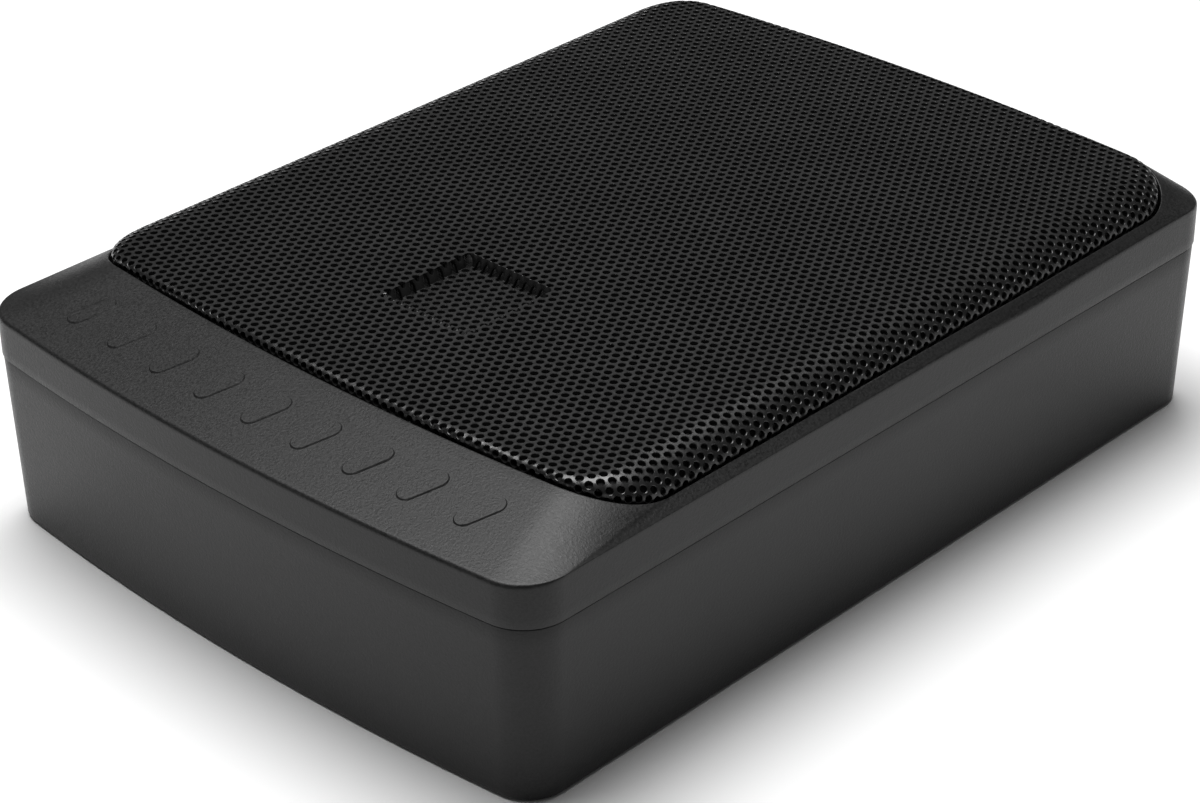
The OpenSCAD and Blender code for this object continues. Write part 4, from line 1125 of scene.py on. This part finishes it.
def grille_tabs():
    """Six tabs folded in at the bottom of the long sides, one at each grille screw."""
    parts = []
    for centre in loose_centres("grille_screws"):
        side = 1 if centre[0] > 0 else -1
        face = SKIRT[0] - SHEET
        foot, wide = 10.0, 8.0
        z0 = BAFFLE_TOP
        z1 = TOP_Z - DROP_SIDE
        y0, y1 = centre[1] - wide / 2, centre[1] + wide / 2
        r = 1.2
        a = np.linspace(0, math.pi / 2, 6)
        out_arc = np.stack([face - r + (r + 0.7) * np.sin(a), z0 + r + 0.7 - (r + 0.7) * np.cos(a)], 1)
        in_arc = np.stack([face - r + (r - 0.3) * np.sin(a), z0 + r + 0.7 - (r - 0.3) * np.cos(a)], 1)[::-1]
        outer = [(face - foot, z0)] + [tuple(p) for p in out_arc] + [(face + 0.7, z1)]
        inner = [(face - 0.3, z1)] + [tuple(p) for p in in_arc] + [(face - foot, z0 + SHEET)]
        prof = np.array(outer + inner)
        loops = []
        for y in (y0, y1):
            loops.append(np.column_stack([side * prof[:, 0], np.full(len(prof), y), prof[:, 1]]))
        v, f = loft(loops, caps=True)
        if side > 0:
            f = [tuple(reversed(q)) for q in f]
        parts.append((v, f))
    v, f = merged(parts)
    tabs = make_object("grille_tabs", v, f)
    finish_piece(tabs, grille_paint, slot="grille_steel")


grille_tabs()


# ---------------------------------------------------------------- cloth behind the grille
def backing_cloth():
    points, edges = [], []
    gap, thick = SHEET + 0.15, 0.3
    margin = 0.4
    edge = FLAT - INWARD * (ARC_LEN - margin)[:, None]
    chain(points, edges, edge)
    pocket = (BADGE_HALF + 1.3, BADGE_DEPTH, 2.4)
    for k, half in enumerate((BADGE_HALF + 1.3, BADGE_HALF + 0.1, BADGE_HALF - 1.1)):
        chain(points, edges, square_loop(half, 1.6 if k == 0 else 1.2))
    for inset in (0.15, 0.4, 0.65, 0.9):
        chain(points, edges, FLAT - INWARD * (ARC_LEN * inset)[:, None])
    grid = np.array([(x, y) for x in np.arange(-96, 97, 6.0) for y in np.arange(-126, 150, 6.0)])
    grid = grid[inside_loop(grid, FLAT)]
    far = np.maximum(np.abs(grid[:, 0]), np.abs(grid[:, 1] - BADGE_Y)) > BADGE_HALF + 3
    points += [tuple(p) for p in grid[far]]
    v, f = triangulate(points, edges)
    f = f[inside_loop(v[f].mean(1), edge)]
    pos, nrm = form(v, pocket)
    top = pos - nrm * gap
    return thick_piece("backing_cloth", v, f, top, top - nrm * thick / 2, top - nrm * thick)


cloth = backing_cloth()
finish_piece(cloth, grille_fabric, "grille_cloth", slot="cloth")


# ---------------------------------------------------------------- surround and spider
def soft_sector(name, profile, stations, start_r, end_r, material, slot):
    """A piece of a ring swept through stations (centre, direction). start_r and end_r are not used."""
    loops = []
    for (cx, cy), a in stations:
        r, z = profile[:, 0], profile[:, 1]
        loops.append(np.column_stack([cx + r * math.cos(a), cy + r * math.sin(a), z]))
    verts, faces = loft(loops, caps=True)
    obj = make_object(name, verts, faces, body=None, smooth_angle=50)
    bm = bmesh.new()
    bm.from_mesh(obj.data)
    bmesh.ops.recalc_face_normals(bm, faces=bm.faces)
    bm.to_mesh(obj.data)
    bm.free()
    soften(obj, 50)
    (x0, y0), a0 = stations[0]
    (x1, y1), a1 = stations[-1]
    a = (a0 + a1) / 2
    z = float(profile[:, 1].mean())
    obj.data.materials.append(material)
    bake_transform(obj)
    return obj


def arc_stations(cy, a0, a1, n):
    return [((0.0, cy), a0 + (a1 - a0) * k / n) for k in range(n + 1)]


def surround_ring():
    low, high = box_mm("surround")
    cone_low, cone_high = box_mm("cone")
    outer = high[0]
    mid_y = (low[1] + high[1]) / 2
    straight = (high[1] - low[1]) / 2 - outer
    land, cone_w, thick = outer - 4.0, cone_high[0] + 0.2, 0.8
    mid, half = (land + cone_w) / 2, (land - cone_w) / 2
    z0 = low[2]
    t = np.radians(np.arange(8, 173, 6.0))
    arc = np.stack([mid + half * np.cos(t), half * np.sin(t)], 1)
    t = np.radians(np.arange(180, -1, -6.0))
    under = np.stack([mid + (half - thick) * np.cos(t), (half - thick) * np.sin(t)], 1)
    profile = np.concatenate(
        [
            [[outer, 0], [outer, thick - 0.15], [outer - 0.15, thick], [land + 0.5, thick]],
            arc,
            [[cone_w - 0.5, thick], [cone_w - 4.85, thick], [cone_w - 5, thick - 0.15], [cone_w - 5, 0]],
            under,
        ]
    )
    profile[:, 1] += z0
    out, pieces, count = [], [], 12
    for end, y in ((1, mid_y + straight), (-1, mid_y - straight)):
        for k in range(count):
            a0 = (0 if end > 0 else math.pi) + math.pi * k / count
            pieces.append(arc_stations(y, a0, a0 + math.pi / count, 5))
    for a in (0.0, math.pi):
        ys = np.linspace(mid_y - straight, mid_y + straight, 5)
        pieces.append([((0.0, y), a) for y in ys])
    for k, stations in enumerate(pieces):
        name = f"surround_{k + 1:02d}"
        args = (land - 0.3, cone_w, MATERIAL_OF["surround"], "surround_rubber")
        out.append(soft_sector(name, profile, stations, *args))
    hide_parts("surround")


def spider_ring():
    low, high = box_mm("spider")
    outer = high[0]
    mid_y = (low[1] + high[1]) / 2
    inner = box_mm("coil_former")[1][0] + 0.05
    reach = outer - 3.0 - inner
    thick, waves, wave = 0.6, 4, 1.3

    def shape(u):
        return wave * np.sin(2 * math.pi * waves * u) * np.sin(math.pi * u)

    z0 = low[2] - shape(np.arange(33) / 32).min()
    u = np.linspace(1, 0, 81)
    lower = np.concatenate([[[outer, 0.0]], np.stack([inner + reach * u, shape(u)], 1)])
    upper = lower[::-1] + [0, thick]
    profile = np.concatenate([lower, upper])
    profile[:, 1] += z0
    count, out = 16, []
    for k in range(count):
        a0 = 2 * math.pi * k / count
        stations = arc_stations(mid_y, a0, a0 + 2 * math.pi / count, 6)
        args = (inner + reach, inner + 1.0, MATERIAL_OF["spider"], "spider_cloth")
        out.append(soft_sector(f"spider_{k + 1:02d}", profile, stations, *args))
    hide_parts("spider")


surround_ring()
spider_ring()


# ---------------------------------------------------------------- marks on the control panel
def bar(x, z, angle, half_len, half_wide, y0, y1):
    """A thin bar lying in the panel's plane, its length along the angle from up."""
    ux, uz = math.sin(angle), math.cos(angle)
    pts = []
    for a, b in ((-1, -1), (-1, 1), (1, 1), (1, -1)):
        pts.append((x + a * half_len * ux + b * half_wide * uz, z + a * half_len * uz - b * half_wide * ux))
    loops = [np.array([[px, y, pz] for px, pz in pts]) for y in (y0, y1)]
    return loft(loops, caps=True)


def panel_marks():
    face = panel_high[1]
    parts = []
    for knob in ("level_knob", "crossover_knob"):
        low, high = box_mm(knob)
        x, z, r = (low[0] + high[0]) / 2, (low[2] + high[2]) / 2, (high[0] - low[0]) / 2
        for k in range(11):
            a = math.radians(-150 + 30 * k)
            long = 0.75 if k % 5 == 0 else 0.45
            d = r + 1.9
            mark_x, mark_z = x + d * math.sin(a), z + d * math.cos(a)
            parts.append(bar(mark_x, mark_z, a, long, 0.16, face - 0.05, face + 0.06))
    for slider in ("phase_slider", "input_slider"):
        low, high = box_mm(slider)
        x, z = (low[0] + high[0]) / 2, high[2] + 3.4
        for dx in (0.0, 3.0):
            parts.append(bar(x + dx, z, 0.0, 0.7, 0.16, face - 0.05, face + 0.06))
    for node in ("power_socket", "remote_socket"):
        low, high = box_mm(node)
        x, z = (low[0] + high[0]) / 2, high[2] + 2.2
        parts.append(bar(x, z, math.pi / 2, (high[0] - low[0]) / 2, 0.14, face - 0.05, face + 0.06))
    v, f = merged(parts)
    marks = make_object("panel_marks", v, f)
    finish_piece(marks, print_white, slot="panel_plastic")
    for knob, body in (("level_knob", "level_control"), ("crossover_knob", "crossover_control")):
        low, high = box_mm(knob)
        x, z, r = (low[0] + high[0]) / 2, (low[2] + high[2]) / 2, (high[0] - low[0]) / 2
        v, f = bar(x, z + r * 0.52, 0.0, r * 0.3, 0.3, high[1] - 0.1, high[1] + 0.05)
        pointer = make_object(knob + "_line", v, f, body=body)
        finish_piece(pointer, print_white, slot="knob_plastic")


panel_marks()


# ---------------------------------------------------------------- stage, lights, camera
def camera():
    azimuth, elevation, roll = math.radians(44.09), math.radians(30.37), math.radians(-0.75)
    cam = bpy.data.cameras.new("camera")
    obj = bpy.data.objects.new("camera", cam)
    bpy.context.scene.collection.objects.link(obj)
    cam.sensor_width = 36.0
    cam.lens = 96.67
    cam.shift_x = 0.00675
    cam.clip_start, cam.clip_end = 0.05, 60.0
    back = Vector(
        (
            math.sin(azimuth) * math.cos(elevation),
            -math.cos(azimuth) * math.cos(elevation),
            math.sin(elevation),
        )
    )
    right = Vector((math.cos(azimuth), math.sin(azimuth), 0))
    up = back.cross(right)
    r = right * math.cos(roll) + up * math.sin(roll)
    u = up * math.cos(roll) - right * math.sin(roll)
    obj.matrix_world = Matrix(
        (
            (r.x, u.x, back.x, 0.5485),
            (r.y, u.y, back.y, -0.5757),
            (r.z, u.z, back.z, 0.4816),
            (0, 0, 0, 1),
        )
    )
    bpy.context.scene.camera = obj


camera()


def floor():
    mesh = bpy.data.meshes.new("floor")
    s = 7.0
    mesh.from_pydata([(-s, -s, 0), (s, -s, 0), (s, s, 0), (-s, s, 0)], [], [(0, 1, 2, 3)])
    obj = bpy.data.objects.new("floor", mesh)
    obj.location.z = -0.0004
    bpy.context.scene.collection.objects.link(obj)
    m = Mat("floor", rough=0.9, specular=0.1)
    m.base(m.colour(m.noise(400.0, 2.0), [(0.3, grey(0.94)), (0.7, grey(0.95))]))
    mesh.materials.append(m.mat)


floor()


def area(name, place, aim, size, power, size_y=None):
    light = bpy.data.lights.new(name, "AREA")
    light.shape = "RECTANGLE"
    light.size = size
    light.size_y = size_y or size
    light.energy = power
    obj = bpy.data.objects.new(name, light)
    bpy.context.scene.collection.objects.link(obj)
    obj.location = place
    obj.rotation_mode = "QUATERNION"
    obj.rotation_quaternion = (Vector(aim) - Vector(place)).to_track_quat("-Z", "Y")
    return obj


MIDDLE = (0.0, 0.0, 0.05)
area("overhead", (-0.26, 0.1, 1.3), (-0.02, 0.0, 0.05), 1.1, 25.0, 0.85)
area("back_left_fill", (-1.0, 1.05, 0.8), MIDDLE, 0.9, 0.1)
world = bpy.data.worlds.new("studio")
bpy.context.scene.world = world
world.use_nodes = True
background = world.node_tree.nodes["Background"]
background.inputs["Color"].default_value = (1, 1, 1, 1)
background.inputs["Strength"].default_value = 0.1
bpy.context.scene.view_settings.view_transform = "Standard"
